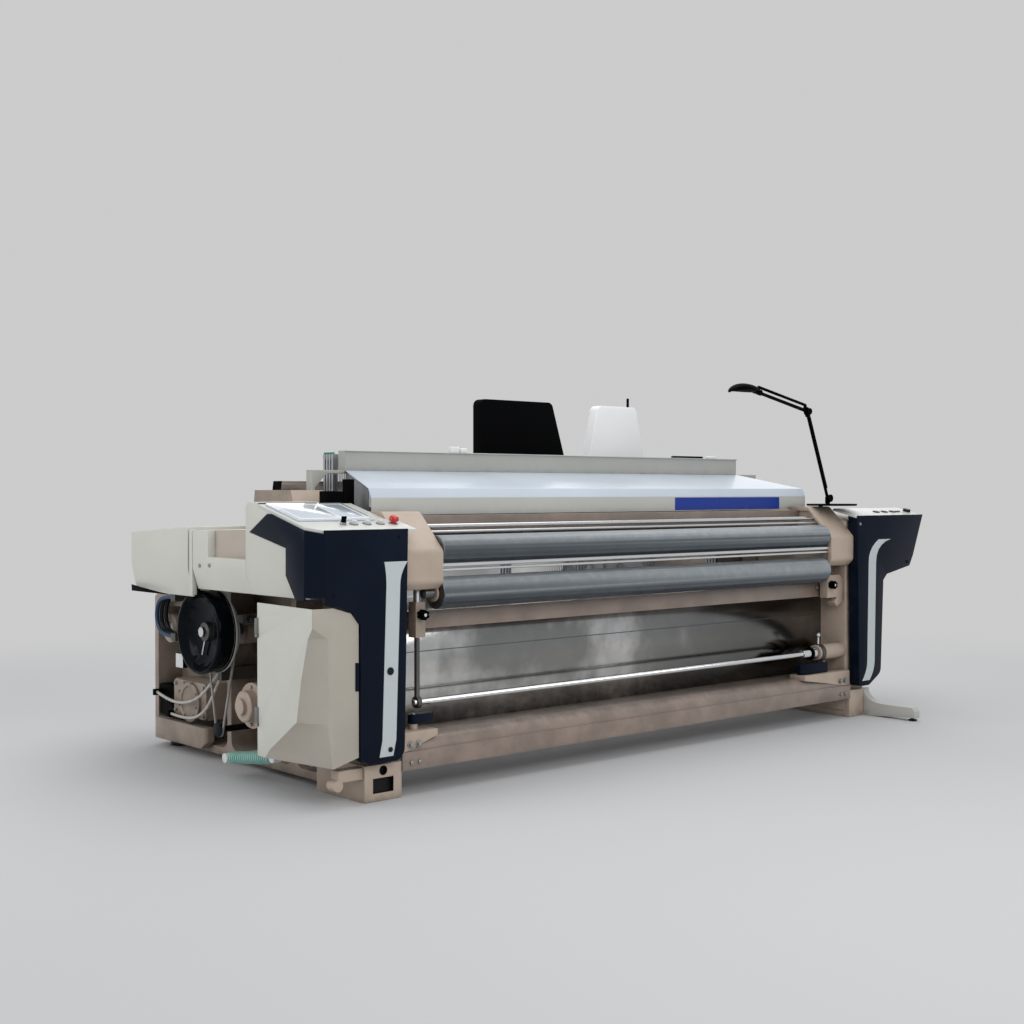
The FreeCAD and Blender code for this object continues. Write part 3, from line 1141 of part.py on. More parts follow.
def door_block(inset, reach):
    """The door as a solid block, drawn in by inset and carried on by reach."""
    sections = []
    for z, x, y in facet:
        sketch = doc.addObject("Sketcher::SketchObject", "Section")
        bind(sketch, "Placement.Base.z", z)
        side_x = -d.door_fold_x + (d.door_fold_x + hinge_x) * (y + d.door_face) / (
            d.door_face + hinge_y)
        sections.append(draw(sketch, [[
            (door_front + reach, -d.door_face + inset), (x + inset * 0.7, -d.door_face + inset),
            (side_x + inset, y + inset * 0.7), (hinge_x + inset, hinge_y + reach),
            (door_front + reach, hinge_y + reach)]]))
    made = doc.addObject("Part::Loft", "DoorBlock")
    made.Sections = sections
    made.Solid = True
    made.Ruled = True
    return made


gap = d.door_gap + 2
front = (-d.door_face - 1, -d.door_face + wall + 1)
trims = body("DoorTrims")
pad(trims, "XZ", *front, [
    (door_front + 1, d.console_throat), (-d.dip_left_x, d.console_dip - gap),
    (-d.belly_left_x, d.console_belly - gap), (-d.belly_left_x, d.door_top + 1),
    (door_front + 1, d.door_top + 1)])
foot_trim = body("DoorFootTrim")
pad(foot_trim, "XZ", *front, [
    (door_front + 1, d.door_low - 1), (door_front + 1, d.door_low + d.door_low_front),
    (-d.belly_left_x, d.door_low), (-d.belly_left_x, d.door_low - 1)])
knuckles = [d.hinge_low, d.hinge_high]
notches = [block(hinge_x - d.notch, hinge_x + d.notch, hinge_y - d.notch, hinge_y + 1,
                 z - d.hinge_arm - 1, z) for z in knuckles]
pins = [rod("Z", hinge_x, hinge_y, z, z + d.hinge_long, d.hinge_pin + d.run_clear)
        for z in knuckles]
panel = cut(door_block(Size(0), Size(0)), door_block(wall, Size(2)))
panel = cut(joined([panel] + [rod("Z", hinge_x, hinge_y, z, z + d.hinge_long, d.hinge_knuckle)
                              for z in knuckles]), joined([trims, foot_trim] + notches + pins))
latch = body("Latch")
pad(latch, "XZ", -d.door_face - d.latch_thick, -d.door_face, rect(
    -d.latch_x - d.latch_wide / 2, -d.latch_x + d.latch_wide / 2, d.latch_z,
    d.latch_z + d.latch_tall))
node(group([panel, latch]), "door_left")

# ------------------------------------- main shaft, bowl wheel, belt and motor
wheel = body("Wheel")
lip, back = -d.wheel_outer, -d.wheel_inner
floor_x = back - d.wheel_floor
grip = d.pulley_wide / 2
pulley_mid = -d.pulley_outer + grip


def groove(mid, radius):
    """Points of one V groove, cut into a pulley of this radius."""
    wide, low = d.groove_wide / 2, d.groove_floor / 2
    return [(mid - wide, radius), (mid - low, radius - d.groove_deep),
            (mid + low, radius - d.groove_deep), (mid + wide, radius)]


turned(wheel, "X", d.shaft_y, d.shaft_z, [
    (floor_x - d.hub_proud - d.cap_long, 0), (floor_x - d.hub_proud - d.cap_long, d.cap_radius),
    (floor_x - d.hub_proud, d.cap_radius), (floor_x - d.hub_proud, d.wheel_hub),
    (floor_x, d.wheel_hub + 4), (floor_x, d.wheel_throat - 40), (floor_x - 14, d.wheel_throat - 8),
    (lip + d.wheel_lip, d.wheel_radius - d.wheel_wall),
    (lip, d.wheel_radius - d.wheel_wall + 4), (lip, d.wheel_radius - d.wheel_lip),
    (lip + 2, d.wheel_radius - 2), (lip + d.wheel_lip, d.wheel_radius), (floor_x, d.wheel_radius - 4),
    (back - d.ring_wide, d.wheel_radius - 12), (back - d.ring_wide, d.wheel_radius),
    (back, d.wheel_radius), (back, d.wheel_throat), (floor_x + d.wheel_wall, d.wheel_throat - 20),
    (floor_x + d.wheel_wall, d.wheel_hub + 24), (-d.pulley_outer, d.wheel_hub + 24),
    (-d.pulley_outer, d.pulley_radius)] + groove(pulley_mid, d.pulley_radius) + [
    (-d.pulley_outer + d.pulley_wide, d.pulley_radius), (-d.pulley_outer + d.pulley_wide,
                                                         d.shaft_radius),
    (frame_outer + d.cap_long, d.shaft_radius), (frame_outer + d.cap_long, 0)])
spoke = rod("Z", 0, 0, d.wheel_hub - 6, d.wheel_throat - 8, d.spoke_radius)
move(spoke, floor_x - d.hub_proud / 2, d.shaft_y, d.shaft_z, ((1, 0, 0), d.spoke_turn))
node(group([joined([wheel, spoke])]), "main_shaft")

motor = body("Motor")
flange_x = -d.frame_inner + d.motor_flange_thick
end_x = flange_x + d.motor_long
turned(motor, "X", d.motor_y, d.motor_z, [
    (-d.frame_inner, 0), (-d.frame_inner, d.motor_flange), (flange_x, d.motor_flange),
    (flange_x, d.motor_radius), (end_x, d.motor_radius), (end_x, d.motor_radius + d.fin_tall),
    (end_x + d.fan_cover - 10, d.motor_radius + d.fin_tall),
    (end_x + d.fan_cover, d.motor_radius - 4), (end_x + d.fan_cover, 0)])
fin = pad(motor, "YZ", flange_x, end_x, rect(
    d.motor_y - d.fin_thick / 2, d.motor_y + d.fin_thick / 2,
    d.motor_z + d.motor_radius - 2, d.motor_z + d.motor_radius + d.fin_tall))
axis = draw(attach(motor, "YZ", flange_x, d.motor_y, d.motor_z),
            [("ring", 0, 0, d.motor_radius)])
around(motor, fin, (axis, ["N_Axis"]), d.motor_fins)
pocket(motor, "YZ", -d.frame_inner, -d.frame_inner + d.motor_shaft_in,
       ("ring", d.motor_y, d.motor_z, d.motor_shaft + d.run_clear))
node(motor, "motor")

small = body("MotorPulley")
turned(small, "X", d.motor_y, d.motor_z, [
    (-d.pulley_outer, 0), (-d.pulley_outer, d.motor_pulley)]
    + groove(pulley_mid, d.motor_pulley) + [
    (-d.pulley_outer + d.pulley_wide, d.motor_pulley),
    (-d.pulley_outer + d.pulley_wide, d.motor_shaft),
    (-d.frame_inner + d.motor_shaft_in - 4, d.motor_shaft),
    (-d.frame_inner + d.motor_shaft_in - 4, 0)])
node(small, "motor_pulley")

# the belt follows the outer tangents of the two pulleys
dy, dz = d.motor_y - d.shaft_y, d.motor_z - d.shaft_z
apart = Size(math.hypot(dy.value, dz.value), "hypot(%s; %s)" % (dy.text, dz.text))
heading = Size(math.degrees(math.atan2(dz.value, dy.value)), "atan2(%s; %s)" % (dz.text, dy.text))
lean = (d.pulley_radius - d.motor_pulley) / apart
spread = Size(math.degrees(math.acos(lean.value)), "acos(%s)" % lean.text)
belt = body("Belt")
half = d.belt_wide / 2


def belt_loops(change):
    """Two circles and the quadrilateral between their tangent points."""
    big, little = d.pulley_radius + change, d.motor_pulley + change
    ways = [heading + spread, heading - spread]
    near = [(d.shaft_y + big * cos(w), d.shaft_z + big * sin(w)) for w in ways]
    far = [(d.motor_y + little * cos(w), d.motor_z + little * sin(w)) for w in ways]
    return [("ring", d.shaft_y, d.shaft_z, big), ("ring", d.motor_y, d.motor_z, little),
            [near[0], far[0], far[1], near[1]]]


for loop in belt_loops(d.belt_proud):
    pad(belt, "YZ", pulley_mid - half, pulley_mid + half, loop)
for loop in belt_loops(d.seat - d.groove_deep):
    pocket(belt, "YZ", pulley_mid - half - 1, pulley_mid + half + 1, loop)
node(belt, "drive_belt")

# ----------------------------------------------- pump, let-off box and valves
pump = body("Pump")
face = -d.pump_flange_at
hub_face = face - d.pump_flange_thick - d.pump_hub_long
turned(pump, "X", d.pump_y, d.pump_z, [
    (-frame_outer, 0), (-frame_outer, d.pump_neck), (face, d.pump_neck),
    (face, d.pump_flange), (face - d.pump_flange_thick, d.pump_flange),
    (face - d.pump_flange_thick, d.pump_hub), (hub_face + 6, d.pump_hub),
    (hub_face, d.pump_hub - 8), (hub_face, d.pump_cap), (hub_face - d.pump_cap_long, d.pump_cap),
    (hub_face - d.pump_cap_long, 0)])
bolt = pad(pump, "YZ", face - d.pump_flange_thick - d.screw_tall * 2,
           face - d.pump_flange_thick + 1,
           ("ring", d.pump_y, d.pump_z + d.pump_bolt_ring, d.pump_bolt))
axis = draw(attach(pump, "YZ", face, d.pump_y, d.pump_z), [("ring", 0, 0, d.pump_bolt_ring)])
around(pump, bolt, (axis, ["N_Axis"]), d.pump_bolts)
node(pump, "pump_body")

box = body("LetOffBox")
wide, tall = d.gearbox_wide / 2, d.gearbox_tall / 2
plate_x = -frame_outer - d.gearbox_thick
corners = [(d.gearbox_y + a * wide, d.gearbox_z + b * tall)
           for a, b in ((-1, -1), (1, -1), (1, 1), (-1, 1))]
pad(box, "YZ", plate_x, -frame_outer, corners)
soften(box, "YZ", d.bay_round / 2, corners)
turned(box, "X", d.gearbox_y - d.gearbox_thick, d.gearbox_z - d.gearbox_thick, [
    (plate_x + 1, 0), (plate_x + 1, d.gearbox_cover), (plate_x - d.gearbox_thick, d.gearbox_cover),
    (plate_x - d.gearbox_thick, d.gearbox_cover - 16),
    (plate_x - d.gearbox_thick / 2, d.gearbox_cover - 20),
    (plate_x - d.gearbox_thick / 2, d.gearbox_cover / 2),
    (plate_x - d.gearbox_dome, d.gearbox_cover / 4), (plate_x - d.gearbox_dome, 0)])
bolt = pad(box, "YZ", plate_x - d.screw_tall, plate_x + 1,
           ("ring", corners[0][0] + 16, corners[0][1] + 16, d.pump_bolt))
along(box, bolt, "Y", d.gearbox_wide - 32, 4)
basin = body("Basin")
pad(basin, "YZ", -frame_outer - d.basin_deep, -frame_outer, [
    (d.basin_front + 40, d.basin_low), (d.basin_back, d.basin_low), (d.basin_back, d.basin_top),
    (d.basin_front, d.basin_top), (d.basin_front, d.basin_low + 30)])
soften(basin, "XY", d.bay_round / 2 - 2, [(-frame_outer - d.basin_deep, d.basin_front),
                                          (-frame_outer - d.basin_deep, d.basin_back)])
node(group([box, basin]), "let_off_gearbox")

valves = body("Valves")
web_x = -web_outer
block_x = web_x - d.valve_deep
pad(valves, "YZ", block_x, web_x, rect(d.valve_front, d.valve_back, d.valve_low, d.valve_top))
start_high = (block_x - d.nozzle * 1.8, d.valve_back - 20, d.valve_top - 38)
start_low = (block_x - d.nozzle * 1.8, d.valve_front - 2, d.valve_low + 16)
for x, y, z in (start_high, start_low):
    pad(valves, "XZ", y, y + d.nozzle * 1.4, rect(
        x - d.nozzle, block_x + 1, z - d.nozzle, z + d.nozzle))
tag = body("Tag")
pad(tag, "YZ", -frame_outer - d.tag_thick, -frame_outer, rect(
    d.tag_y - d.tag_wide / 2, d.tag_y + d.tag_wide / 2,
    d.tag_z - d.tag_tall / 2, d.tag_z + d.tag_tall / 2))
shelf = body("TagShelf")
pad(shelf, "YZ", -frame_outer, web_x, rect(
    d.tag_y - d.tag_wide / 2, d.tag_y + d.tag_wide / 2,
    d.tag_z - d.tag_tall / 2, d.tag_z + d.tag_tall / 2))



def bore(end, near):
    """A hole for the last stretch of a hose, a little wider than the hose."""
    drill = doc.addObject("Part::Cylinder", "Bore")
    bind(drill, "Radius", d.clear_radius + d.seat)
    bind(drill, "Height", d.hose_in * 4)
    drill.Placement = Placement(end, Rotation(Vector(0, 0, 1), near - end))
    return drill


def seated(end, near):
    """A hose's end point moved on into its seat, and the bore of that seat."""
    end, near = (Vector(*(Size.of(q).value for q in p)) for p in (end, near))
    end = end + (end - near).normalize() * d.hose_in.value
    return end, bore(end, near)


port_x = web_x - d.port_deep
end_x = port_x + d.nozzle
upper_way = [(-1670, 960, 232), (-1684, 805, 230), (-1696, 640, 264), (-1706, 510, 335)]
lower_way = [(-1676, 755, 160), (-1692, 585, 206), (-1706, 470, 300)]
start_high, high_seat = seated(start_high, upper_way[0])
start_low, low_seat = seated(start_low, lower_way[0])
upper_end, upper_seat = seated((end_x, d.port_y, d.port_z + d.port_split), upper_way[-1])
lower_end, lower_seat = seated((end_x, d.port_y, d.port_z - d.port_split), lower_way[-1])
node(group([cut(valves, joined([high_seat, low_seat])), tag, shelf]), "valve_block")


# --------------------------------------------------------------------- hoses
def tube(points, radius, name):
    """A round hose: straight runs joined by tangent arcs."""
    pts = [Vector(*(Size.of(q).value for q in p)) for p in points]
    radius = Size.of(radius)
    path, bends, here = [], [], pts[0]
    for a, b, c in zip(pts, pts[1:], pts[2:]):
        into, out = (b - a), (c - b)
        half_turn = into.getAngle(out) / 2
        bend = 0.45 * min(into.Length, out.Length) / math.tan(half_turn)
        bends.append(bend)
        trim = bend * math.tan(half_turn)
        first, last = b - into * (trim / into.Length), b + out * (trim / out.Length)
        toward = (out * (1 / out.Length) - into * (1 / into.Length))
        middle = b + toward * ((bend / math.cos(half_turn) - bend) / toward.Length)
        path += [Part.makeLine(here, first), Part.Arc(first, middle, last).toShape()]
        here = last
    path.append(Part.makeLine(here, pts[-1]))
    spine = doc.addObject("Part::Feature", name + "Path")
    spine.Shape = Part.Wire(path)
    ring = doc.addObject("Part::Circle", name + "Ring")
    bind(ring, "Radius", radius)
    ring.Placement = Placement(pts[0], Rotation(Vector(0, 0, 1), pts[1] - pts[0]))
    sweep = doc.addObject("Part::Sweep", name)
    sweep.Sections = [ring]
    sweep.Spine = (spine, ["Edge%d" % (i + 1) for i in range(len(path))])
    sweep.Solid = True
    sweep.Frenet = False
    doc.recompute()
    length = sum(edge.Length for edge in path)
    print("%s: length %.0f, least bend %.0f, volume over section x length %.3f" % (
        name, length, min(bends), sweep.Shape.Volume / (math.pi * radius.value ** 2 * length)))
    return sweep


port = block(port_x, -web_outer, d.port_y - 30, d.port_y, d.port_z - d.port_half,
             d.port_z + d.port_half)
port = cut(port, joined([upper_seat, lower_seat]))
upper = tube([start_high, *upper_way, upper_end], d.clear_radius, "UpperHose")
lower = tube([start_low, *lower_way, lower_end], d.clear_radius, "LowerHose")
node(group([upper, lower]), "clear_hoses")

side_step = d.bundle_bend * math.tan(math.pi / 8)
mid_y = d.bundle_y + d.bundle_lead
bundle = []
for i in range(SIZES["bundle_count"]):
    x = -d.bundle_x - d.bundle_pitch * i
    corner = [(mid_y + side_step, d.bundle_bend), (mid_y + d.bundle_bend, side_step)]
    pts = [(x, d.bundle_y, d.bundle_z + d.bundle_bend)]
    pts += [(x, y, d.bundle_z + z) for y, z in corner]
    pts += [(x, y, d.bundle_z - z) for y, z in reversed(corner)]
    pts += [(x, d.bundle_y, d.bundle_z - d.bundle_bend)]
    bundle.append(tube(pts, d.bundle_radius, "BundleHose%d" % (i + 1)))
node(group(bundle), "hose_bundle")

ribbed = body("RibbedHose")
turned(ribbed, "Z", 0, 0, [
    (0, d.ribbed_bore), (0, d.ribbed_root), (d.ribbed_long, d.ribbed_root),
    (d.ribbed_long, d.ribbed_bore)])
pitch = d.ribbed_long / (d.ribbed_count + 1)
half = d.rib_wide / 2
rib = turned(ribbed, "Z", 0, 0, [
    (pitch - half, d.ribbed_root - 1), (pitch - half / 2, d.ribbed_radius),
    (pitch + half / 2, d.ribbed_radius), (pitch + half, d.ribbed_root - 1)])
along(ribbed, rib, "Z", pitch * (d.ribbed_count - 1), d.ribbed_count)
lay = 90 - d.ribbed_lift
node(ribbed, "ribbed_hose", -d.ribbed_x, d.ribbed_y, d.ribbed_z, ((1, 0, 0), lay))


def elbow(reach, turn):
    """A stub into one end of the ribbed hose, a drum and an arm to the frame's web."""
    y = d.ribbed_y - reach * cos(d.ribbed_lift)
    z = d.ribbed_z + reach * sin(d.ribbed_lift)
    stub = move(rod("Z", 0, 0, 0, d.elbow_radius + d.elbow_in, d.ribbed_bore),
                -d.ribbed_x, y, z, ((1, 0, 0), turn))
    drum = rod("X", y, z, -d.ribbed_x - d.elbow_radius, -d.ribbed_x + d.elbow_radius,
               d.elbow_radius)
    return joined([stub, drum, rod("X", y, z, -d.ribbed_x, -web_outer, d.elbow_arm)])


high_clamp = block(-d.bundle_x - d.bundle_pitch * 2 - d.clamp_tall / 2, -frame_outer,
                   d.bundle_y - d.clamp_thick, d.bundle_y,
                   d.bundle_z + d.bundle_bend - d.clamp_tall / 2,
                   d.bundle_z + d.bundle_bend + d.clamp_tall / 2)
low_clamp = block(-d.bundle_x - d.bundle_pitch * 2 - d.clamp_tall / 2, -web_outer,
                  d.bundle_y - d.clamp_thick, d.bundle_y,
                  d.bundle_z - d.bundle_bend - d.clamp_tall / 2,
                  d.bundle_z - d.bundle_bend + d.clamp_tall / 2)
node(group([elbow(-d.elbow_radius, lay), elbow(d.ribbed_long + d.elbow_radius, lay + 180),
            port, high_clamp, low_clamp]), "hose_fittings")


# ------------------------------------------- sley, reed and heald frames
sley = body("Sley")
tip = frame_outer - 8
turned(sley, "X", d.sley_y, d.sley_z, [
    (-tip, 0), (-tip, d.sley_shaft), (tip, d.sley_shaft), (tip, 0)])
beam_low = d.sley_top - d.sley_tall
beam_rear = -d.sley_front + d.sley_deep
for hand in (-1, 1):
    lo, hi = side(hand, d.sword_x - d.sword_thick / 2, d.sword_x + d.sword_thick / 2)
    pad(sley, "YZ", lo, hi, ("ring", d.sley_y, d.sley_z, d.sley_shaft + d.bearing_wall))
    pad(sley, "YZ", lo, hi, [
        (d.sley_y - d.sword_wide / 2, d.sley_z), (d.sley_y + d.sword_wide / 2, d.sley_z),
        (beam_rear, beam_low + 1), (-d.sley_front, beam_low + 1)])
pad(sley, "YZ", -d.sley_half, d.sley_half,
    rect(-d.sley_front, beam_rear, beam_low, d.sley_top))
node(sley, "sley")

reed = body("Reed")
reed_back = beam_rear - d.reed_rib
reed_front = reed_back - d.reed_thick
reed_top = d.sley_top + d.reed_tall
pad(reed, "XZ", reed_front, reed_back, rect(-d.reed_half, d.reed_half, d.sley_top, reed_top))
for lo, hi in ((reed_front, reed_front + d.reed_dish), (reed_back - d.reed_dish, reed_back)):
    pocket(reed, "XZ", lo, hi, rect(
        -d.reed_half + d.reed_rib, d.reed_half - d.reed_rib,
        d.sley_top + d.reed_rib, reed_top - d.reed_rib))
node(reed, "reed")


def heald_frame(index):
    """Two rails, two capped stiles and upright stays between them."""
    piece = body("Heald")
    y = d.heald_first + d.heald_pitch * index
    front, rear = y - d.heald_thick / 2, y + d.heald_thick / 2
    pad(piece, "XZ", front, rear, rect(-d.heald_half, d.heald_half, d.heald_low, d.heald_top))
    pocket(piece, "XZ", front, rear, rect(
        -d.heald_half + d.heald_stile, d.heald_half - d.heald_stile,
        d.heald_low + d.heald_rail, d.heald_top - d.heald_rail))
    for x in (-d.heald_half, d.heald_half - d.heald_cap):
        pad(piece, "XZ", front - 2, rear + 2,
            rect(x, x + d.heald_cap, d.heald_top - d.heald_cap, d.heald_top))
    pitch = (d.heald_half - d.heald_stile) * 2 / (d.heald_stays + 1)
    first = -d.heald_half + d.heald_stile + pitch - d.heald_stay / 2
    stay = pad(piece, "XZ", y - d.heald_stay / 2, y + d.heald_stay / 2, rect(
        first, first + d.heald_stay, d.heald_low + 1, d.heald_top - 1))
    along(piece, stay, "X", pitch * (d.heald_stays - 1), d.heald_stays)
    return piece


node(group([heald_frame(0), heald_frame(2)]), "heald_frames_odd")
node(group([heald_frame(1), heald_frame(3)]), "heald_frames_even")

# ------------------------------------------------- warp beam and back rest
warp = body("WarpBeam")
tip = frame_outer - 8
outer = d.warp_inner + d.warp_flange_thick
turned(warp, "X", d.warp_y, d.warp_z, [
    (-tip, 0), (-tip, d.warp_journal), (-outer - 40, d.warp_journal), (-outer - 40, d.warp_hub),
    (-outer, d.warp_hub), (-outer, d.warp_flange), (-d.warp_inner, d.warp_flange),
    (-d.warp_inner, d.warp_barrel), (d.warp_inner, d.warp_barrel),
    (d.warp_inner, d.warp_flange), (outer, d.warp_flange), (outer, d.warp_hub),
    (outer + 40, d.warp_hub), (outer + 40, d.warp_journal), (tip, d.warp_journal), (tip, 0)])
node(warp, "warp_beam")

rest = body("BackRest")
tip = d.frame_inner + d.rest_arm + d.bay_round / 2
turned(rest, "X", d.rest_y, d.rest_z, [
    (-tip, 0), (-tip, d.rest_journal), (-d.rest_half, d.rest_journal),
    (-d.rest_half, d.rest_radius), (d.rest_half, d.rest_radius),
    (d.rest_half, d.rest_journal), (tip, d.rest_journal), (tip, 0)])
node(rest, "back_rest_roller")


def rest_arm(hand):
    """A bearing stand on the side frame's deck."""
    piece = body("RestArm")
    lo, hi = side(hand, d.frame_inner, d.frame_inner + d.rest_arm)
    half = d.rest_arm_wide / 2
    pad(piece, "YZ", lo, hi, rect(d.rest_y - half, d.rest_y + half, d.frame_deck, d.rest_z))
    pad(piece, "YZ", lo, hi, ("ring", d.rest_y, d.rest_z, half))
    pocket(piece, "YZ", lo, hi, ("ring", d.rest_y, d.rest_z, d.rest_journal + d.run_clear))
    return piece


def heald_guide(hand):
    """A slotted block that keeps the ends of the four heald frames."""
    piece = body("HealdGuide")
    edge = d.heald_half + d.guide_gap
    lap = edge - d.guide_lap
    first = d.heald_first - d.heald_pitch
    last = d.heald_first + d.heald_pitch * 4
    top = d.guide_low + d.guide_tall
    pad(piece, "YZ", *side(hand, lap, d.frame_inner), rect(first, last, d.guide_low, top))
    slot_half = d.heald_thick / 2 + d.guide_gap
    slots = [rect(y - slot_half, y + slot_half, d.guide_low - 1, top + 1)
             for y in [d.heald_first + d.heald_pitch * i for i in range(4)]]
    pocket(piece, "YZ", *side(hand, lap - 1, edge), *slots)
    return piece


half = d.rail_deep / 2
rail = block(-d.frame_inner, d.frame_inner, d.hood_y - half, d.hood_y + half,
             d.rail_low, d.rail_low + d.rail_tall)
posts = [block(*side(hand, d.frame_inner - d.rail_post, d.frame_inner), d.hood_y - half,
               d.hood_y + half, d.frame_deck - d.rail_lap, d.rail_low) for hand in (-1, 1)]
boxes = [block(-d.box_outer, -d.box_inner, -d.box_front, -d.box_back, d.frame_shoulder, d.box_top),
         block(-d.box_inner, -d.slat_inner, -d.box_front, -d.box_front + d.slat_thick,
               d.frame_shoulder, d.slat_top)]
node(group([rest_arm(-1), rest_arm(1), heald_guide(-1), heald_guide(1), rail] + posts + boxes),
     "inner_supports")


# ---------------------------------------------------- covers behind the beam
def hood(x_lo, x_hi, lean, draw_in, top):
    """A moulded cover that narrows upwards: by lean on the left, draw_in on the right."""
    piece = body("Hood")
    low = d.rail_low + d.rail_tall
    half = d.hood_deep / 2
    pad(piece, "XZ", d.hood_y - half, d.hood_y + half, [
        (x_lo, low), (x_hi, low), (x_hi - draw_in, top), (x_lo + lean, top)])
    soften(piece, "XZ", d.hood_round, [(x_hi - draw_in, top), (x_lo + lean, top)])
    shell(piece, d.hood_shell, lambda mid, way: abs(way.z) > 0.9 and mid.z < low.value + 1)
    return piece


pale = hood(d.pale_left, d.pale_right, d.pale_lean, d.pale_draw, d.pale_top)
stick = rod("Z", d.stick_x, d.hood_y, d.pale_top, d.pale_top + d.stick_long, d.stick_radius)
node(hood(-d.dark_left, d.dark_right, 0, d.dark_draw, d.dark_top), "hood_dark")
node(group([pale, stick]), "hood_pale")

# ---------------------------------------------------------------------- lamp
tray_top = d.tray_low + d.tray_thick
lamp_base = body("LampBase")
pad(lamp_base, "XY", d.tray_low, tray_top, ("ring", d.tray_x, -d.lamp_y, d.tray_radius))
pad(lamp_base, "XY", d.bracket_top, d.tray_low + 1,
    ("ring", d.tray_x, -d.tray_post_y, d.tray_post))
fork_low = d.lamp_z - d.lamp_fork
outer_half = d.lamp_eye_thick / 2 + d.lamp_cheek + d.lamp_gap
inner_half = d.lamp_eye_thick / 2 + d.lamp_gap
pad(lamp_base, "XY", tray_top - 1, fork_low, ("ring", d.lamp_x, -d.lamp_y, d.lamp_stem))
pad(lamp_base, "XZ", -d.lamp_y - outer_half, -d.lamp_y + outer_half, rect(
    d.lamp_x - d.lamp_stem, d.lamp_x + d.lamp_stem, fork_low - 8, fork_low + 1))
for lo, hi in ((-outer_half, -inner_half), (inner_half, outer_half)):
    pad(lamp_base, "XZ", -d.lamp_y + lo, -d.lamp_y + hi, rect(
        d.lamp_x - d.lamp_stem, d.lamp_x + d.lamp_stem, fork_low, d.lamp_z))
    pad(lamp_base, "XZ", -d.lamp_y + lo, -d.lamp_y + hi,
        ("ring", d.lamp_x, d.lamp_z, d.lamp_stem))
pad(lamp_base, "XZ", -d.lamp_y - outer_half, -d.lamp_y + outer_half,
    ("ring", d.lamp_x, d.lamp_z, d.lamp_pin))
node(lamp_base, "lamp_base")


def lamp_arm(label, x0, z0, x1, z1):
    """A tube with an eye at its near end and a fork with a pin at its far end."""
    piece = body("LampArm")
    run_x, run_z = x1 - x0, z1 - z0
    long = Size(math.hypot(run_x.value, run_z.value), "hypot(%s; %s)" % (run_x.text, run_z.text))
    angle = Size(math.degrees(math.atan2(-run_z.value, run_x.value)),
                 "atan2(0 - %s; %s)" % (run_z.text, run_x.text))
    eye = d.lamp_eye_thick / 2
    pad(piece, "XZ", -eye, eye, ("ring", 0, 0, d.lamp_eye))
    pad(piece, "YZ", d.lamp_eye - 2, long - d.lamp_fork, ("ring", 0, 0, d.arm_tube))
    pad(piece, "XZ", -outer_half, outer_half, rect(
        long - d.lamp_fork - 8, long - d.lamp_fork, -d.lamp_stem, d.lamp_stem))
    for lo, hi in ((-outer_half, -inner_half), (inner_half, outer_half)):
        pad(piece, "XZ", lo, hi, rect(long - d.lamp_fork - 1, long, -d.lamp_stem, d.lamp_stem))
        pad(piece, "XZ", lo, hi, ("ring", long, 0, d.lamp_stem))
    pad(piece, "XZ", -outer_half, outer_half, ("ring", long, 0, d.lamp_pin))
    pocket(piece, "XZ", -eye, eye, ("ring", 0, 0, d.lamp_pin + d.run_clear))
    return node(piece, label, x0, -d.lamp_y, z0, ((0, 1, 0), angle))


lamp_arm("lamp_lower_arm", d.lamp_x, d.lamp_z, d.elbow_x, d.elbow_z)
lamp_arm("lamp_upper_arm", d.elbow_x, d.elbow_z, d.wrist_x, d.wrist_z)

head = body("LampHead")
wide, eye = d.head_wide / 2, d.lamp_eye_thick / 2
shade_start = -d.lamp_fork - d.lamp_eye
crown = [(shade_start, d.head_tall * 0.4), (-d.head_long * 0.4, d.head_tall),
         (-d.head_long * 0.8, d.head_tall), (-d.head_long, d.head_tall * 0.45)]
pad(head, "XZ", -wide, wide, [(-d.head_long, 0), (shade_start, 0)] + crown)
soften(head, "XZ", d.head_tall * 0.6, crown[1:3])
for hand in (-1, 1):
    pocket(head, "XY", -1, d.head_tall + 1, [
        (shade_start + 1, wide * 0.45 * hand), (shade_start + 1, (wide + 1) * hand),
        (-d.head_long * 0.35, (wide + 1) * hand)])
shell(head, d.head_shell, lambda mid, way: abs(way.z) > 0.9 and mid.z < 1)
pad(head, "XZ", -eye, eye, ("ring", 0, 0, d.lamp_eye - 3))
pad(head, "XZ", -eye, eye, [
    (0, -d.lamp_eye + 4), (0, d.lamp_eye - 4), (shade_start - 1, d.head_tall * 0.35),
    (shade_start - 1, 2)])
pocket(head, "XZ", -eye, eye, ("ring", 0, 0, d.lamp_pin + d.run_clear))
node(head, "lamp_head", d.wrist_x, -d.lamp_y, d.wrist_z, ((0, 1, 0), -d.head_tilt))

# ------------------------------------------------------------ small fasteners
screws = [rod("Y", x, z, face_y - d.screw_tall, face_y, d.screw_radius)
          for x, z in ((-d.console_inner - 40, d.rim_left - 28), (d.console_inner + 20, 1026),
                       (-d.belly_left_x, 812), (d.right_sill_x - 20, 812))]
screws += [rod("X", y, z, -d.cover_outer - d.screw_tall, -d.cover_outer, d.screw_radius)
           for y, z in ((d.mid_back - 60, d.tall_crease + 14), (d.mid_back - 140, d.tall_crease + 18))]
node(group(plugs + screws), "panel_screws")


# --------------------------------------------------------- checks and output
doc.recompute()
for thing in doc.Objects:
    if "Invalid" in thing.State or "Error" in thing.State:
        raise RuntimeError("%s failed: %s" % (thing.Name, thing.State))
for piece in nodes:
    if piece.Shape.isNull() or not piece.Shape.isValid() or not piece.Shape.Solids:
        raise RuntimeError("%s has no valid solid" % piece.Label)
for piece in nodes:
    piece.Shape.exportStep("parts/%s.step" % piece.Label)
print(len(nodes), "pieces written")
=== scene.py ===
"""Finishes and fine pieces of a wide power loom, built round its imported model."""

import json
import math

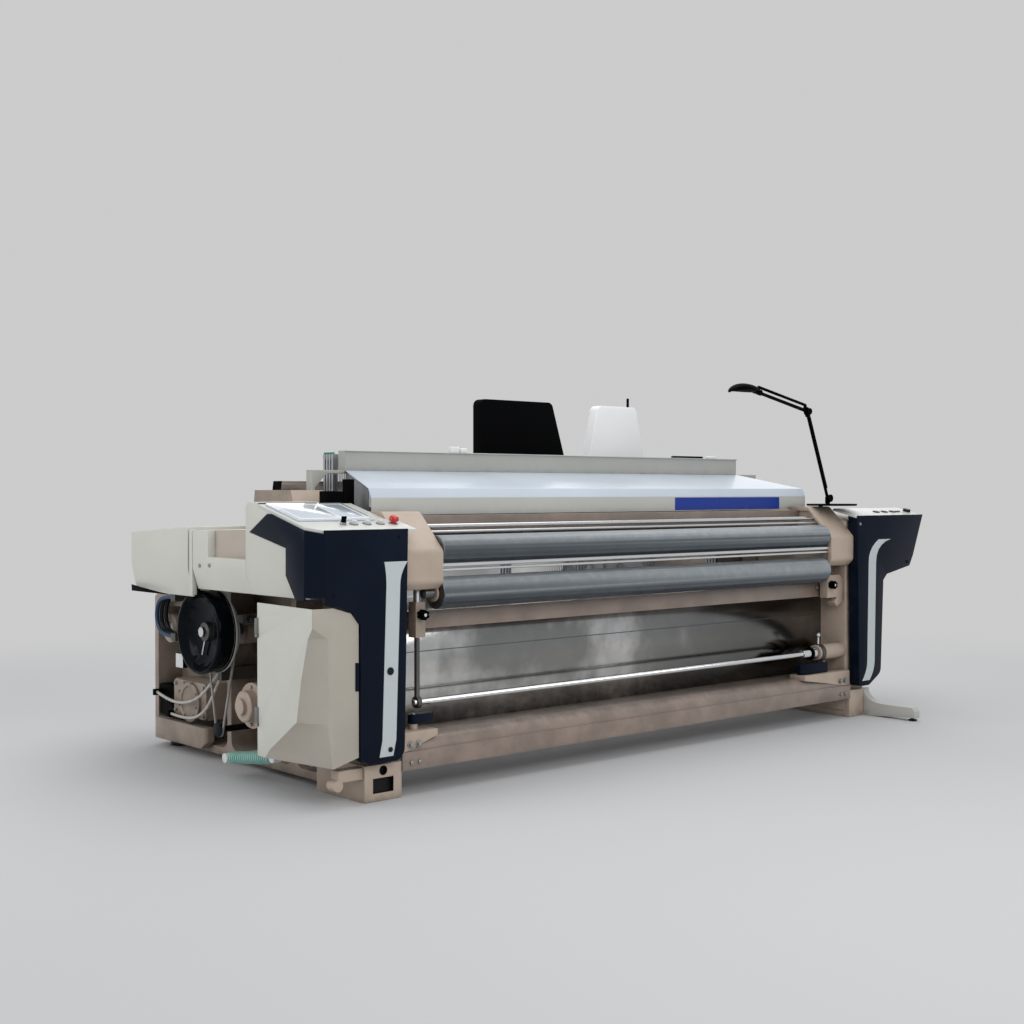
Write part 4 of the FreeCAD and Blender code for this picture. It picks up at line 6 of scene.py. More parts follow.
import bpy
from bpy.props import FloatProperty, FloatVectorProperty, IntProperty, PointerProperty
from mathutils import Matrix, Vector


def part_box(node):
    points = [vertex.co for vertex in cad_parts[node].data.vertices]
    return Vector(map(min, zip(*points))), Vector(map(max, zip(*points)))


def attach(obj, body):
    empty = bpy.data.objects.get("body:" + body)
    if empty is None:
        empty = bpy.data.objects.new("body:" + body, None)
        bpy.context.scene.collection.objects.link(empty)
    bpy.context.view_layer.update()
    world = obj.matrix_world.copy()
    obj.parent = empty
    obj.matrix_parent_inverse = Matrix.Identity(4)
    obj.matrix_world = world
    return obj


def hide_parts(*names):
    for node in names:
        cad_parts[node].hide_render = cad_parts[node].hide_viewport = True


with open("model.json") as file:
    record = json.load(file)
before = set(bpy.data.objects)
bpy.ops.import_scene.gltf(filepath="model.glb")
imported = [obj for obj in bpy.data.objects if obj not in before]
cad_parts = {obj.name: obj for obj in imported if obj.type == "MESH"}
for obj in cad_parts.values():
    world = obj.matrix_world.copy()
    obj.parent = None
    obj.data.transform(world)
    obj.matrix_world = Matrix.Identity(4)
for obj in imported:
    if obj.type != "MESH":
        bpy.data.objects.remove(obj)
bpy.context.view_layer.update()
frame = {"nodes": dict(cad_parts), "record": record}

bl_info = {
    "name": "Power Loom Dress",
    "version": (1, 0, 0),
    "blender": (4, 5, 0),
    "location": "View3D > Sidebar > Loom",
    "description": "Rounds, finishes and completes the pieces of a wide power loom",
    "category": "Add Mesh",
}

NODES = frame["nodes"]
RECORD = frame["record"]
BODY_OF = {node: body for body, nodes in RECORD["behaviour"]["bodies"].items() for node in nodes}
SHIFT = Vector((-0.0865, -0.236, 0.0))  # from the loom's own zero to the frame's origin
TURN = {"X": (0, math.pi / 2, 0), "Y": (-math.pi / 2, 0, 0), "Z": (0, 0, 0)}

# Axes that run along X, as (y, z) in the loom's own millimetres
SHAFT_AXIS, WARP_AXIS, CLOTH_AXIS = (350, 600), (985, 560), (-540, 354)
TAKE_UP_AXIS, PRESS_AXIS = (-560, 789), (-565, 965)


def mm(x, y, z):
    """A point given in the loom's own millimetres, in the frame's metres."""
    return Vector((x, y, z)) / 1000 + SHIFT


def own(point):
    """A point of a mesh in the loom's own millimetres."""
    return (point - SHIFT) * 1000


# ------------------------------------------------------------------- settings
def colour(name, value, text):
    """A setting for a colour."""
    return FloatVectorProperty(name=name, description=text, subtype="COLOR", size=3,
                               min=0.0, max=1.0, default=value)


def length(name, value, text):
    """A setting for a length in metres."""
    return FloatProperty(name=name, description=text, subtype="DISTANCE", unit="LENGTH",
                         min=0.0, default=value)


class LoomColours(bpy.types.PropertyGroup):
    """Colours of the loom's finishes."""
    castings: colour("Castings", (0.500, 0.398, 0.315), "Rose beige paint of the castings")
    # Painted shade as well as oil: a darker copy of the castings' paint for the front beam and the
    # inner parts.
    oily: colour("Oiled and shaded castings", (0.215, 0.165, 0.135), "Beige paint darkened by oil and lint")
    # Painted shade: a darker copy of the castings' paint for faces in shade, such as the inner
    # frame faces.
    worn: colour("Castings in shade", (0.370, 0.295, 0.235), "Beige paint of the inner frame faces")
    covers: colour("Covers", (0.660, 0.655, 0.585), "Cream paint of the side covers")
    # Painted shade: the cream of the covers made darker and warmer for the door's facets that look
    # forward and down.
    door: colour("Door facets in shade", (0.450, 0.408, 0.345), "Warm cream of the door's front pane")
    decks: colour("Decks", (0.640, 0.645, 0.600), "Off-white paint of the sloping decks")
    navy: colour("Consoles", (0.0030, 0.0062, 0.0145), "Navy lacquer of the consoles")
    cover: colour("Front cover", (0.540, 0.600, 0.665), "Silver-blue paint of the sloping cover")
    fascia: colour("Fascia", (0.530, 0.535, 0.500), "Off-white paint of the upright fascia")
    beam: colour("Top beam", (0.440, 0.435, 0.400), "Pale grey paint of the top beam")
    plate: colour("Plate", (0.010, 0.040, 0.290), "Blue of the bare plate")
    stripe: colour("Stripes", (0.560, 0.600, 0.610), "Satin silver of the console stripes")
    rollers: colour("Rollers", (0.052, 0.066, 0.079), "Grey rubber of the big rollers")
    black: colour("Black paint", (0.0020, 0.0035, 0.0055), "Gloss black of the bowl wheel")
    plastic: colour("Black plastic", (0.0050, 0.0050, 0.0055), "Moulded black parts")
    graphite: colour("Dark hood", (0.0016, 0.0017, 0.0020), "Dark moulded hood")
    milk: colour("Pale hood", (0.780, 0.780, 0.770), "White moulded parts")
    steel: colour("Steel", (0.420, 0.420, 0.430), "Bare machined steel")
    chrome: colour("Chrome", (0.820, 0.820, 0.815), "Polished bars")
    stainless: colour("Stainless", (0.640, 0.630, 0.610), "Polished stainless sheet")
    red: colour("Stop button", (0.560, 0.014, 0.010), "Red of the stop button")
    ribbed: colour("Ribbed hose", (0.230, 0.430, 0.375), "Green ribbed hose")
    strand: colour("Hose bundle", (0.014, 0.050, 0.110), "Blue hoses of the bundle")
    belt: colour("Belt", (0.330, 0.320, 0.300), "Worn rubber of the belt")
    floor: colour("Floor", (0.600, 0.600, 0.600), "Plain pale floor")


class LoomSizes(bpy.types.PropertyGroup):
    """Sizes that the pieces take."""
    sheet_edge: length("Sheet edge", 0.004, "Rounding along the folds of sheet metal")
    cast_edge: length("Casting edge", 0.006, "Rounding along the edges of castings")
    fine_edge: length("Fine edge", 0.0012, "Rounding along the edges of small parts")
    mould_edge: length("Moulded edge", 0.008, "Rounding along the edges of moulded parts")
    steps: IntProperty(name="Rounding steps", description="Faces across a rounded edge",
                       min=1, max=6, default=3)


# ------------------------------------------------------------------ modelling
def alone(piece):
    """Make a piece the only selected one."""
    if bpy.context.mode != "OBJECT":
        bpy.ops.object.mode_set(mode="OBJECT")
    bpy.ops.object.select_all(action="DESELECT")
    piece.select_set(True)
    bpy.context.view_layer.objects.active = piece
    return piece


def edit(piece, everything=True):
    """Enter edit mode on one piece."""
    alone(piece)
    bpy.ops.object.mode_set(mode="EDIT")
    bpy.ops.mesh.select_mode(type="VERT")
    bpy.ops.mesh.select_all(action="SELECT" if everything else "DESELECT")


def leave():
    """Leave edit mode."""
    bpy.ops.object.mode_set(mode="OBJECT")


def sink(piece, test, rim, move):
    """Inset the faces whose (centre, normal) pass the test by a rim of millimetres, and move
    what lies inside it."""
    alone(piece)
    bpy.ops.object.mode_set(mode="EDIT")
    bpy.ops.mesh.select_mode(type="FACE")
    bpy.ops.mesh.select_all(action="DESELECT")
    leave()
    for face in piece.data.polygons:
        face.select = bool(test(own(face.center), face.normal))
    if not any(face.select for face in piece.data.polygons):
        raise RuntimeError("no face picked on " + piece.name)
    bpy.ops.object.mode_set(mode="EDIT")
    bpy.ops.mesh.inset(thickness=rim / 1000)
    bpy.ops.transform.translate(value=Vector(move) / 1000)
    leave()


def nudge(piece, test, move):
    """Move the corners whose place in the loom's millimetres passes the test."""
    edit(piece, everything=False)
    leave()
    for corner in piece.data.vertices:
        corner.select = bool(test(own(corner.co)))
    bpy.ops.object.mode_set(mode="EDIT")
    bpy.ops.transform.translate(value=Vector(move) / 1000)
    leave()


def apply_place(piece):
    """Put a piece's place into its mesh."""
    alone(piece)
    bpy.ops.object.transform_apply(location=True, rotation=True, scale=True)
    return piece


def fresh(maker, name, scale=(1, 1, 1), **options):
    """A new mesh from a primitive's operator, with its place put into it."""
    bpy.ops.object.select_all(action="DESELECT")
    maker(**options)
    piece = bpy.context.active_object
    piece.name = name
    piece.scale = scale
    return apply_place(piece)


def round_edges(piece, width, steps=2, angle=32):
    """Bevel the sharp edges and smooth what is left."""
    alone(piece)
    bevel = piece.modifiers.new("Rounding", "BEVEL")
    bevel.width, bevel.segments = width, steps
    bevel.limit_method, bevel.angle_limit = "ANGLE", math.radians(angle)
    bevel.miter_outer = "MITER_ARC"
    bpy.ops.object.modifier_apply(modifier="Rounding")
    bpy.ops.object.shade_smooth_by_angle(angle=math.radians(38))
    return piece


def settle(piece, node=None, body=None, replaces=()):
    """Attach a finished piece to its body's empty and hide the nodes that it stands in for."""
    body = body or (BODY_OF[node] if node else "machine")
    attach(piece, body)
    if replaces:
        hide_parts(*replaces)
    return piece


def coat(piece, finish):
    """Give a piece one finish all over."""
    piece.data.materials.clear()
    piece.data.materials.append(MATERIALS[finish])
    if piece.type == "MESH":
        for face in piece.data.polygons:
            face.material_index = 0
    return piece


def paint_where(piece, finish, test):
    """Give another finish to the faces whose (centre, normal) pass the test."""
    material = MATERIALS[finish]
    if material.name not in piece.data.materials:
        piece.data.materials.append(material)
    index = piece.data.materials.find(material.name)
    for face in piece.data.polygons:
        if test(own(face.center), face.normal):
            face.material_index = index


def complete(piece, width, finish, node=None, body=None, steps=2):
    """Round, coat and settle a piece that was just modelled."""
    round_edges(piece, width, steps)
    coat(piece, finish)
    return settle(piece, node, body)


def zone(x=None, y=None, z=None, facing=None, least=0.7):
    """A test for faces that lie between limits in the loom's millimetres and look one way."""
    way = Vector(facing).normalized() if facing else None

    def test(at, normal):
        inside = all(span is None or span[0] <= value <= span[1]
                     for value, span in zip(at, (x, y, z)))
        return inside and (way is None or normal.dot(way) > least)
    return test


def ring_zone(axis, low, high, x=(-9000, 9000)):
    """A test for faces between two distances from an axis that runs along X."""
    def test(at, normal):
        return (x[0] <= at.x <= x[1]
                and low <= math.hypot(at.y - axis[0], at.z - axis[1]) <= high)
    return test


def rounded(node, finish, width, steps=None, angle=32, patches=()):
    """A node's merged copy with rounded edges, which stands for the node; patches are
    (finish, test) pairs."""
    mesh = NODES[node].data.copy()
    mesh.materials.clear()
    piece = bpy.data.objects.new(node + "_finished", mesh)
    bpy.context.scene.collection.objects.link(piece)
    edit(piece)
    bpy.ops.mesh.remove_doubles(threshold=0.00002)
    bpy.ops.mesh.dissolve_limited(angle_limit=math.radians(0.6))
    leave()
    round_edges(piece, width, steps or bpy.context.scene.loom_sizes.steps, angle)
    coat(piece, finish)
    for patch, test in patches:
        paint_where(piece, patch, test)
    return settle(piece, node, replaces=[node])


def keep(node, finish):
    """Keep a node as it is and give it a better finish."""
    coat(NODES[node], finish)


def block(name, low, high, finish, width=0.002, node=None, steps=2):
    """A block with rounded edges between two corners given in the loom's millimetres."""
    low, high = mm(*low), mm(*high)
    piece = fresh(bpy.ops.mesh.primitive_cube_add, name, high - low, size=1,
                  location=(low + high) / 2)
    return complete(piece, width, finish, node, steps=steps)


def drum(name, axis, centre, radius, deep, finish, width=0.001, node=None, body=None,
         sides=40, dish=None):
    """A bevelled round piece; dish = (share of the radius, depth, way) sinks its outer face."""
    piece = fresh(bpy.ops.mesh.primitive_cylinder_add, name, vertices=sides,
                  radius=radius / 1000, depth=deep / 1000, location=mm(*centre),
                  rotation=TURN[axis])
    if dish:
        share, depth, way = dish
        sink(piece, zone(facing=way, least=0.9), radius * (1 - share), -Vector(way) * depth)
    return complete(piece, width, finish, node, body)


def ring(name, axis, centre, radius, half_thick, finish, node=None, body=None, sides=(64, 10)):
    """A smooth round ring about an axis, in the loom's millimetres."""
    piece = fresh(bpy.ops.mesh.primitive_torus_add, name, align="WORLD", location=mm(*centre),
                  major_segments=sides[0], minor_segments=sides[1], rotation=TURN[axis],
                  major_radius=radius / 1000, minor_radius=half_thick / 1000)
    bpy.ops.object.shade_smooth()
    coat(piece, finish)
    return settle(piece, node, body)


def stick(name, start, end, radius, finish, node=None, body=None, sides=14):
    """A round bar with softened ends between two points in the loom's millimetres."""
    low, high = mm(*start), mm(*end)
    run = high - low
    piece = fresh(bpy.ops.mesh.primitive_cylinder_add, name, vertices=sides,
                  radius=radius / 1000, depth=run.length, location=(low + high) / 2,
                  rotation=run.to_track_quat("Z", "Y").to_euler())
    return complete(piece, min(0.0015, radius / 3000), finish, node, body)


def combine(name, parts):
    """Join pieces that ride together into one."""
    alone(parts[0])
    for part in parts:
        part.select_set(True)
    bpy.ops.object.join()
    parts[0].name = name
    return parts[0]


def repeated(name, piece, moves):
    """A piece and its copies, each moved by millimetres, joined into one."""
    twins = [piece]
    for move in moves:
        twin = piece.copy()
        twin.data = piece.data.copy()
        bpy.context.scene.collection.objects.link(twin)
        twin.data.transform(Matrix.Translation(Vector(move) / 1000))
        twins.append(twin)
    return combine(name, twins)


def new_curve(name, kind, points, **options):
    """A curve through points of metres, linked to the scene, and its one line."""
    curve = bpy.data.curves.new(name, "CURVE")
    for key, value in options.items():
        setattr(curve, key, value)
    line = curve.splines.new(kind)
    line.points.add(len(points) - 1)
    for point, place in zip(line.points, points):
        point.co = (*place, 1)
    piece = bpy.data.objects.new(name, curve)
    bpy.context.scene.collection.objects.link(piece)
    return piece, line


def plate(name, outline, thick, place, finish, node):
    """A flat plate cut to an outline of millimetres, then put in its place."""
    piece, line = new_curve(name, "POLY", [(across / 1000, up / 1000, 0) for across, up in outline],
                            dimensions="2D", fill_mode="BOTH", extrude=thick / 2000)
    line.use_cyclic_u = True
    alone(piece)
    bpy.ops.object.convert(target="MESH")
    piece = bpy.context.active_object
    edit(piece)
    bpy.ops.mesh.remove_doubles(threshold=0.00001)
    bpy.ops.mesh.normals_make_consistent(inside=False)
    leave()
    piece.matrix_world = place
    return complete(apply_place(piece), 0.0008, finish, node)


def bolts(name, axis, way, points, radius, node):
    """Hexagon bolts with their washers, all alike, looking along an axis."""
    tall = radius * 0.9
    out = way * Vector([float(letter == axis) for letter in "XYZ"])
    first = Vector(points[0])
    washer = drum(name, axis, first + out * radius * 0.12, radius * 1.5, radius * 0.24,
                  "zinc_bolt", 0.0004, node, sides=20)
    head = fresh(bpy.ops.mesh.primitive_cylinder_add, name + "_head", vertices=6,
                 radius=radius / 1000, depth=tall / 1000, rotation=TURN[axis],
                 location=mm(*(first + out * (tall / 2 + radius * 0.2))))
    sink(head, zone(facing=out, least=0.9), radius * 0.12, out * radius * 0.1)
    round_edges(head, 0.0004, 1)
    coat(head, "zinc_bolt")
    one = combine(name, [washer, head])
    return repeated(name, one, [Vector(point) - first for point in points[1:]])


# ------------------------------------------------------------------- finishes
WHITE = (1.0, 1.0, 1.0, 1.0)
EFFECTS = {}    # node groups by their short names
MATERIALS = {}  # finishes by their names


def feed(tree, socket, value):
    """Link an input to another socket, or give it a plain value."""
    if isinstance(value, bpy.types.NodeSocket):
        tree.links.new(value, socket)
    elif socket.type == "RGBA":
        socket.default_value = (*value, 1.0)[:4]
    else:
        socket.default_value = value


def add(tree, kind, inputs=None, **options):
    """A shader node with its options, and its inputs by name or number."""
    node = tree.nodes.new("ShaderNode" + kind)
    for key, value in options.items():
        setattr(node, key, value)
    for key, value in (inputs or {}).items():
        feed(tree, node.inputs[key], value)
    return node


def ramp(tree, value, low, high):
    """The value stretched so that low gives 0 and high gives 1."""
    return add(tree, "MapRange", {"Value": value, "From Min": low, "From Max": high},
               interpolation_type="SMOOTHSTEP").outputs["Result"]


def times(tree, first, second):
    """The product of two values."""
    return add(tree, "Math", {0: first, 1: second}, operation="MULTIPLY").outputs[0]


def times_add(tree, value, factor, rest):
    """The value times the factor, plus the rest."""
    return add(tree, "Math", {0: value, 1: factor, 2: rest},
               operation="MULTIPLY_ADD").outputs[0]


def mixed(tree, factor, first, second):
    """A blend of two colours; 6 and 7 are the mix node's colour inputs."""
    return add(tree, "Mix", {"Factor": factor, 6: first, 7: second}, data_type="RGBA").outputs[2]


def noise(tree, scale, detail=4.0, rough=0.55, stretch=None):
    """Noise on object coordinates, drawn out along an axis by the stretch."""
    place = add(tree, "TexCoord").outputs["Object"]
    if stretch:
        place = add(tree, "Mapping", {"Vector": place, "Scale": stretch}).outputs["Vector"]
    return add(tree, "TexNoise", {"Vector": place, "Detail": detail, "Roughness": rough,
                                  "Scale": scale}).outputs["Fac"]


def make_group(name, inputs, outputs):
    """A new shader node group with its named sockets."""
    tree = bpy.data.node_groups.new(name, "ShaderNodeTree")
    for socket, kind, value in inputs:
        made = tree.interface.new_socket(name=socket, in_out="INPUT",
                                         socket_type="NodeSocket" + kind)
        made.default_value = value
    for socket, kind in outputs:
        tree.interface.new_socket(name=socket, in_out="OUTPUT", socket_type="NodeSocket" + kind)
    start, end = tree.nodes.new("NodeGroupInput"), tree.nodes.new("NodeGroupOutput")
    return tree, start, end


def overlay_group(name, second, amount, make_mask, *more):
    """A group that lays a second colour over the first where its mask says."""
    label, tint = second
    tree, start, end = make_group(name, [
        ("Colour", "Color", WHITE), (label, "Color", tint), ("Amount", "Float", amount), *more],
        [("Colour", "Color"), ("Mask", "Float")])
    given = start.outputs
    mask = times(tree, make_mask(tree, given), given["Amount"])
    feed(tree, end.inputs["Colour"], mixed(tree, mask, given["Colour"], given[label]))
    feed(tree, end.inputs["Mask"], mask)
    return tree


def uneven_mask(tree, given):
    """Clouds, as paint has when it is sprayed over a large face."""
    return ramp(tree, noise(tree, given["Scale"], 5.0, 0.6), 0.32, 0.72)


def edge_mask(tree, given):
    """Bare or rubbed edges, broken up by noise."""
    near = add(tree, "AmbientOcclusion", {"Distance": given["Reach"]}, samples=4, inside=True,
               only_local=True)
    return times(tree, ramp(tree, near.outputs["AO"], 0.90, 0.45),
                 ramp(tree, noise(tree, 38.0, 6.0, 0.7), 0.42, 0.62))


def corner_dirt_and_shade_mask(tree, given):
    """Dirt and painted shade, darker in corners, ledges and recesses as ambient occlusion finds
    them.
    """
    hollow = add(tree, "AmbientOcclusion", {"Distance": given["Reach"]}, samples=6)
    return times(tree, ramp(tree, hollow.outputs["AO"], 0.95, 0.25),
                 ramp(tree, noise(tree, 14.0, 6.0, 0.65), 0.20, 0.75))


def upper_dust_and_sheen_mask(tree, given):
    """Faces within a range of normal heights: lint and dust where they look up, and on the rollers
    a painted highlight band.
    """
    normal = add(tree, "SeparateXYZ", {"Vector": add(tree, "NewGeometry").outputs["Normal"]})
    up = ramp(tree, normal.outputs["Z"], given["From"], given["To"])
    patchy = ramp(tree, noise(tree, 22.0, 6.0, 0.7), 0.35, 0.75)
    broken = add(tree, "MapRange", {"Value": patchy, "To Min": given["Even"]})
    return times(tree, up, broken.outputs["Result"])


def grain_group():
    """A fine height for cast, sprayed or moulded skins."""
    tree, start, end = make_group("Skin Grain", [("Scale", "Float", 400.0)], [("Height", "Float")])
    fine = noise(tree, start.outputs["Scale"], 3.0, 0.5)
    feed(tree, end.inputs["Height"], times_add(tree, noise(tree, 9.0, 2.0, 0.5), 1.4, fine))
    return tree


def brush_group():
    """Fine lines along a piece, as turning or polishing leaves them."""
    tree, start, end = make_group("Brushed Lines", [
        ("Direction", "Vector", (1.0, 40.0, 40.0)), ("Scale", "Float", 12.0)],
        [("Height", "Float"), ("Mask", "Float")])
    place = add(tree, "TexCoord").outputs["Object"]
    mapping = add(tree, "Mapping", {"Vector": place, "Scale": start.outputs["Direction"]})
    lines = add(tree, "TexNoise", {"Vector": mapping.outputs["Vector"], "Detail": 5.0,
                                   "Scale": start.outputs["Scale"]}).outputs["Fac"]
    feed(tree, end.inputs["Height"], lines)
    feed(tree, end.inputs["Mask"], ramp(tree, lines, 0.35, 0.7))
    return tree


def effect(tree, name, **values):
    """An effect group placed in a material with its own values."""
    node = tree.nodes.new("ShaderNodeGroup")
    node.node_tree = EFFECTS[name]
    for key, value in values.items():
        feed(tree, node.inputs[key], value)
    return node.outputs


def tone(rgb, second):
    """A finish's second colour: given outright, or as a share of the first."""
    if isinstance(second, tuple):
        return second
    return tuple(min(1.0, part * second) for part in rgb)


def new_material(name, rough, metal_share=0.0, **shader):
    """A material and its tree; the shader's plain values are set on its sockets."""
    material = bpy.data.materials.new(name)
    MATERIALS[name] = material
    material.use_nodes = True
    tree = material.node_tree
    main = tree.nodes["Principled BSDF"].inputs
    main["Roughness"].default_value = rough
    main["Metallic"].default_value = metal_share
    for key, value in shader.items():
        main[key.replace("_", " ")].default_value = value
    return tree, main


def bump(tree, main, height, strength, distance):
    """Turn a height into the shader's normal."""
    node = add(tree, "Bump", {"Height": height, "Strength": strength, "Distance": distance})
    feed(tree, main["Normal"], node.outputs["Normal"])


def painted(name, rgb, rough=0.42, uneven=0.5, second=0.86, wear=0.4, bare=(0.3, 0.27, 0.25),
            dirt=0.5, reach=0.05, dirt_and_shade_rgb=(0.06, 0.05, 0.04), lint=0.15, grain=450.0,
            height=0.00012, scale=5.0, edge=0.0015, **shader):
    """Paint with uneven colour, rubbed edges, dirt and painted shade in corners, lint and a fine
    skin.
    """
    tree, main = new_material(name, rough, **shader)
    base = effect(tree, "mottle", Colour=rgb, Second=tone(rgb, second), Scale=scale,
                  Amount=uneven)
    dirty_and_shaded = effect(tree, "dirt", Colour=base["Colour"], Dirt=dirt_and_shade_rgb, Amount=dirt, Reach=reach)
    worn = effect(tree, "wear", Colour=dirty_and_shaded["Colour"], Bare=bare, Amount=wear, Reach=edge)
    dusty = effect(tree, "dust", Colour=worn["Colour"], Amount=lint)
    feed(tree, main["Base Color"], dusty["Colour"])
    feed(tree, main["Roughness"], times_add(tree, base["Mask"], 0.14, rough))
    bump(tree, main, effect(tree, "grain", Scale=grain)["Height"], 0.5, height)


def metal(name, rgb, rough=0.25, direction=(1.0, 40.0, 40.0), scale=12.0, uneven=0.35,
          dirt=0.3, swing=0.15, height=0.00004):
    """Bare metal with fine lines, uneven tone and a little dirt and painted shade in corners."""
    tree, main = new_material(name, rough, 1.0)
    base = effect(tree, "mottle", Colour=rgb, Second=tone(rgb, 0.7), Scale=4.0, Amount=uneven)
    dirty_and_shaded = effect(tree, "dirt", Colour=base["Colour"], Amount=dirt, Reach=0.03)
    feed(tree, main["Base Color"], dirty_and_shaded["Colour"])
    lines = effect(tree, "brush", Direction=direction, Scale=scale)
    feed(tree, main["Roughness"], times_add(tree, lines["Mask"], swing, rough))
    bump(tree, main, lines["Height"], 0.35, height)


def moulded(name, rgb, rough=0.45, uneven=0.4, grain=900.0, height=0.00008, lint=0.12,
            second=1.5, lint_and_sheen_look=(), **shader):
    """Plastic or rubber with a moulded skin."""
    tree, main = new_material(name, rough, **shader)
    base = effect(tree, "mottle", Colour=rgb, Second=tone(rgb, second), Scale=11.0,
                  Amount=uneven)
    dusty = effect(tree, "dust", Colour=base["Colour"], Amount=lint, **dict(lint_and_sheen_look))
    feed(tree, main["Base Color"], dusty["Colour"])
    feed(tree, main["Roughness"], times_add(tree, base["Mask"], 0.12, rough))
    bump(tree, main, effect(tree, "grain", Scale=grain)["Height"], 0.45, height)


def make_finishes():
    """Build the effect groups once, then each material from the chosen colours."""
    EFFECTS.update(
        mottle=overlay_group("Uneven Colour", ("Second", WHITE), 0.5, uneven_mask,
                             ("Scale", "Float", 6.0)),
        wear=overlay_group("Rubbed Edges", ("Bare", WHITE), 0.5, edge_mask,
                           ("Reach", "Float", 0.002)),
        # This effect darkens corners and recesses by ambient occlusion: dirt, and painted shade.
        dirt=overlay_group("Gathered Dirt", ("Dirt", (0.05, 0.04, 0.03, 1)), 0.5, corner_dirt_and_shade_mask,
                           ("Reach", "Float", 0.05)),
        # This effect lightens faces by where they look: settled lint, and on the rollers a painted
        # highlight band.
        dust=overlay_group("Settled Lint", ("Lint", (0.55, 0.53, 0.50, 1)), 0.3, upper_dust_and_sheen_mask,
                           ("From", "Float", 0.35), ("To", "Float", 0.95),
                           ("Even", "Float", 0.0)),
        grain=grain_group(), brush=brush_group())
    chosen = bpy.context.scene.loom_colours
    rgb = {key: tuple(getattr(chosen, key)) for key in LoomColours.__annotations__}
    make_paints(rgb)
    make_metals(rgb)
    make_plastics(rgb)


def make_paints(rgb):
    """The painted finishes, and the silver film of the stripes."""
    painted("casting_paint", rgb["castings"], 0.40, 0.7, 0.80, wear=0.5,
            bare=(0.56, 0.50, 0.44), dirt=0.70, reach=0.09, dirt_and_shade_rgb=(0.060, 0.042, 0.030),
            grain=260.0, height=0.0003, edge=0.005)
    # Painted shade as well as oil: darker and glossier than the casting paint.
    painted("oily_casting", rgb["oily"], 0.30, 0.85, 1.55, wear=0.6, bare=(0.40, 0.34, 0.30),
            dirt=0.9, reach=0.14, dirt_and_shade_rgb=(0.018, 0.014, 0.012), lint=0.30, grain=220.0,
            height=0.0004, scale=7.0, Coat_Weight=0.35, Coat_Roughness=0.16)
    # Painted shade: the casting paint darkened for faces in shade.
    painted("worn_casting", rgb["worn"], 0.36, 0.8, 0.62, wear=0.6, dirt=0.85, reach=0.12,
            dirt_and_shade_rgb=(0.030, 0.022, 0.017), lint=0.25, grain=240.0, height=0.0004, scale=6.0)
    painted("cream_paint", rgb["covers"], 0.34, 0.5, 0.92, wear=0.25, dirt=0.45,
            dirt_and_shade_rgb=(0.16, 0.13, 0.10), lint=0.1)
    # Painted shade on the door's facets that look forward and down.
    painted("door_paint", rgb["door"], 0.36, 0.6, 0.88, wear=0.25, dirt=0.40,
            dirt_and_shade_rgb=(0.14, 0.11, 0.08), lint=0.1)
    painted("deck_paint", rgb["decks"], 0.32, 0.35, 0.92, wear=0.2, dirt=0.35, lint=0.05)
    painted("navy_lacquer", rgb["navy"], 0.20, 0.5, 1.7, wear=0.35, bare=(0.10, 0.12, 0.16),
            dirt=0.2, lint=0.006, grain=600.0, height=0.00005, Specular_IOR_Level=0.09)
    painted("cover_paint", rgb["cover"], 0.32, 0.5, 1.14, wear=0.1, dirt=0.2, lint=0.06,
            height=0.00004, scale=1.6, Coat_Weight=0.25, Coat_Roughness=0.28)
    painted("fascia_paint", rgb["fascia"], 0.30, 0.45, 1.16, wear=0.1, dirt=0.25, lint=0.05,
            height=0.00004, scale=1.2)
    painted("beam_paint", rgb["beam"], wear=0.25, dirt=0.4, lint=0.10, scale=2.5)
    painted("olive_grey_paint", (0.480, 0.470, 0.435), 0.38, 0.5, (0.54, 0.53, 0.50), wear=0.35)
    painted("pocket_paint", (0.520, 0.450, 0.385), 0.38, 0.6, (0.44, 0.37, 0.31), wear=0.2,
            dirt=0.4)
    painted("machine_grey_paint", (0.20, 0.205, 0.21), 0.42, 0.5, (0.14, 0.145, 0.15), wear=0.5,
            dirt=0.7)
    painted("plate_blue", rgb["plate"], 0.26, 0.25, 1.12, wear=0.1, dirt=0.05, lint=0.0,
            height=0.00002, scale=2.0, Specular_IOR_Level=0.3)
    painted("wheel_black", rgb["black"], 0.13, 0.4, 2.4, wear=0.3, bare=(0.10, 0.10, 0.11),
            dirt=0.1, lint=0.008, grain=150.0, height=0.00008, Specular_IOR_Level=0.09)
    painted("stripe_silver", rgb["stripe"], 0.36, 0.5, 1.12, wear=0.2, dirt=0.1, lint=0.02,
            scale=1.5, Metallic=0.25)


def make_metals(rgb):
    """The bare metals."""
    along, every = (2.0, 30.0, 30.0), (20.0, 20.0, 20.0)
    metal("bare_steel", rgb["steel"], 0.34, along, 14.0, 0.5, dirt=0.5)
    metal("dark_steel", (0.150, 0.148, 0.145), 0.38, along, 14.0, 0.6, dirt=0.7)
    metal("polished_chrome", rgb["chrome"], 0.12, (0.4, 60.0, 60.0), 9.0, 0.25, swing=0.10)
    metal("zinc_bolt", (0.42, 0.41, 0.38), 0.35, every, 20.0, 0.5, dirt=0.6)
    metal("copper_line", (0.30, 0.20, 0.13), 0.34, every, 16.0, 0.6, dirt=0.7)
    metal("heald_aluminium", (0.50, 0.51, 0.53), 0.36, (1.0, 30.0, 30.0), 9.0, 0.4)
    cloudy_stainless(rgb["stainless"])


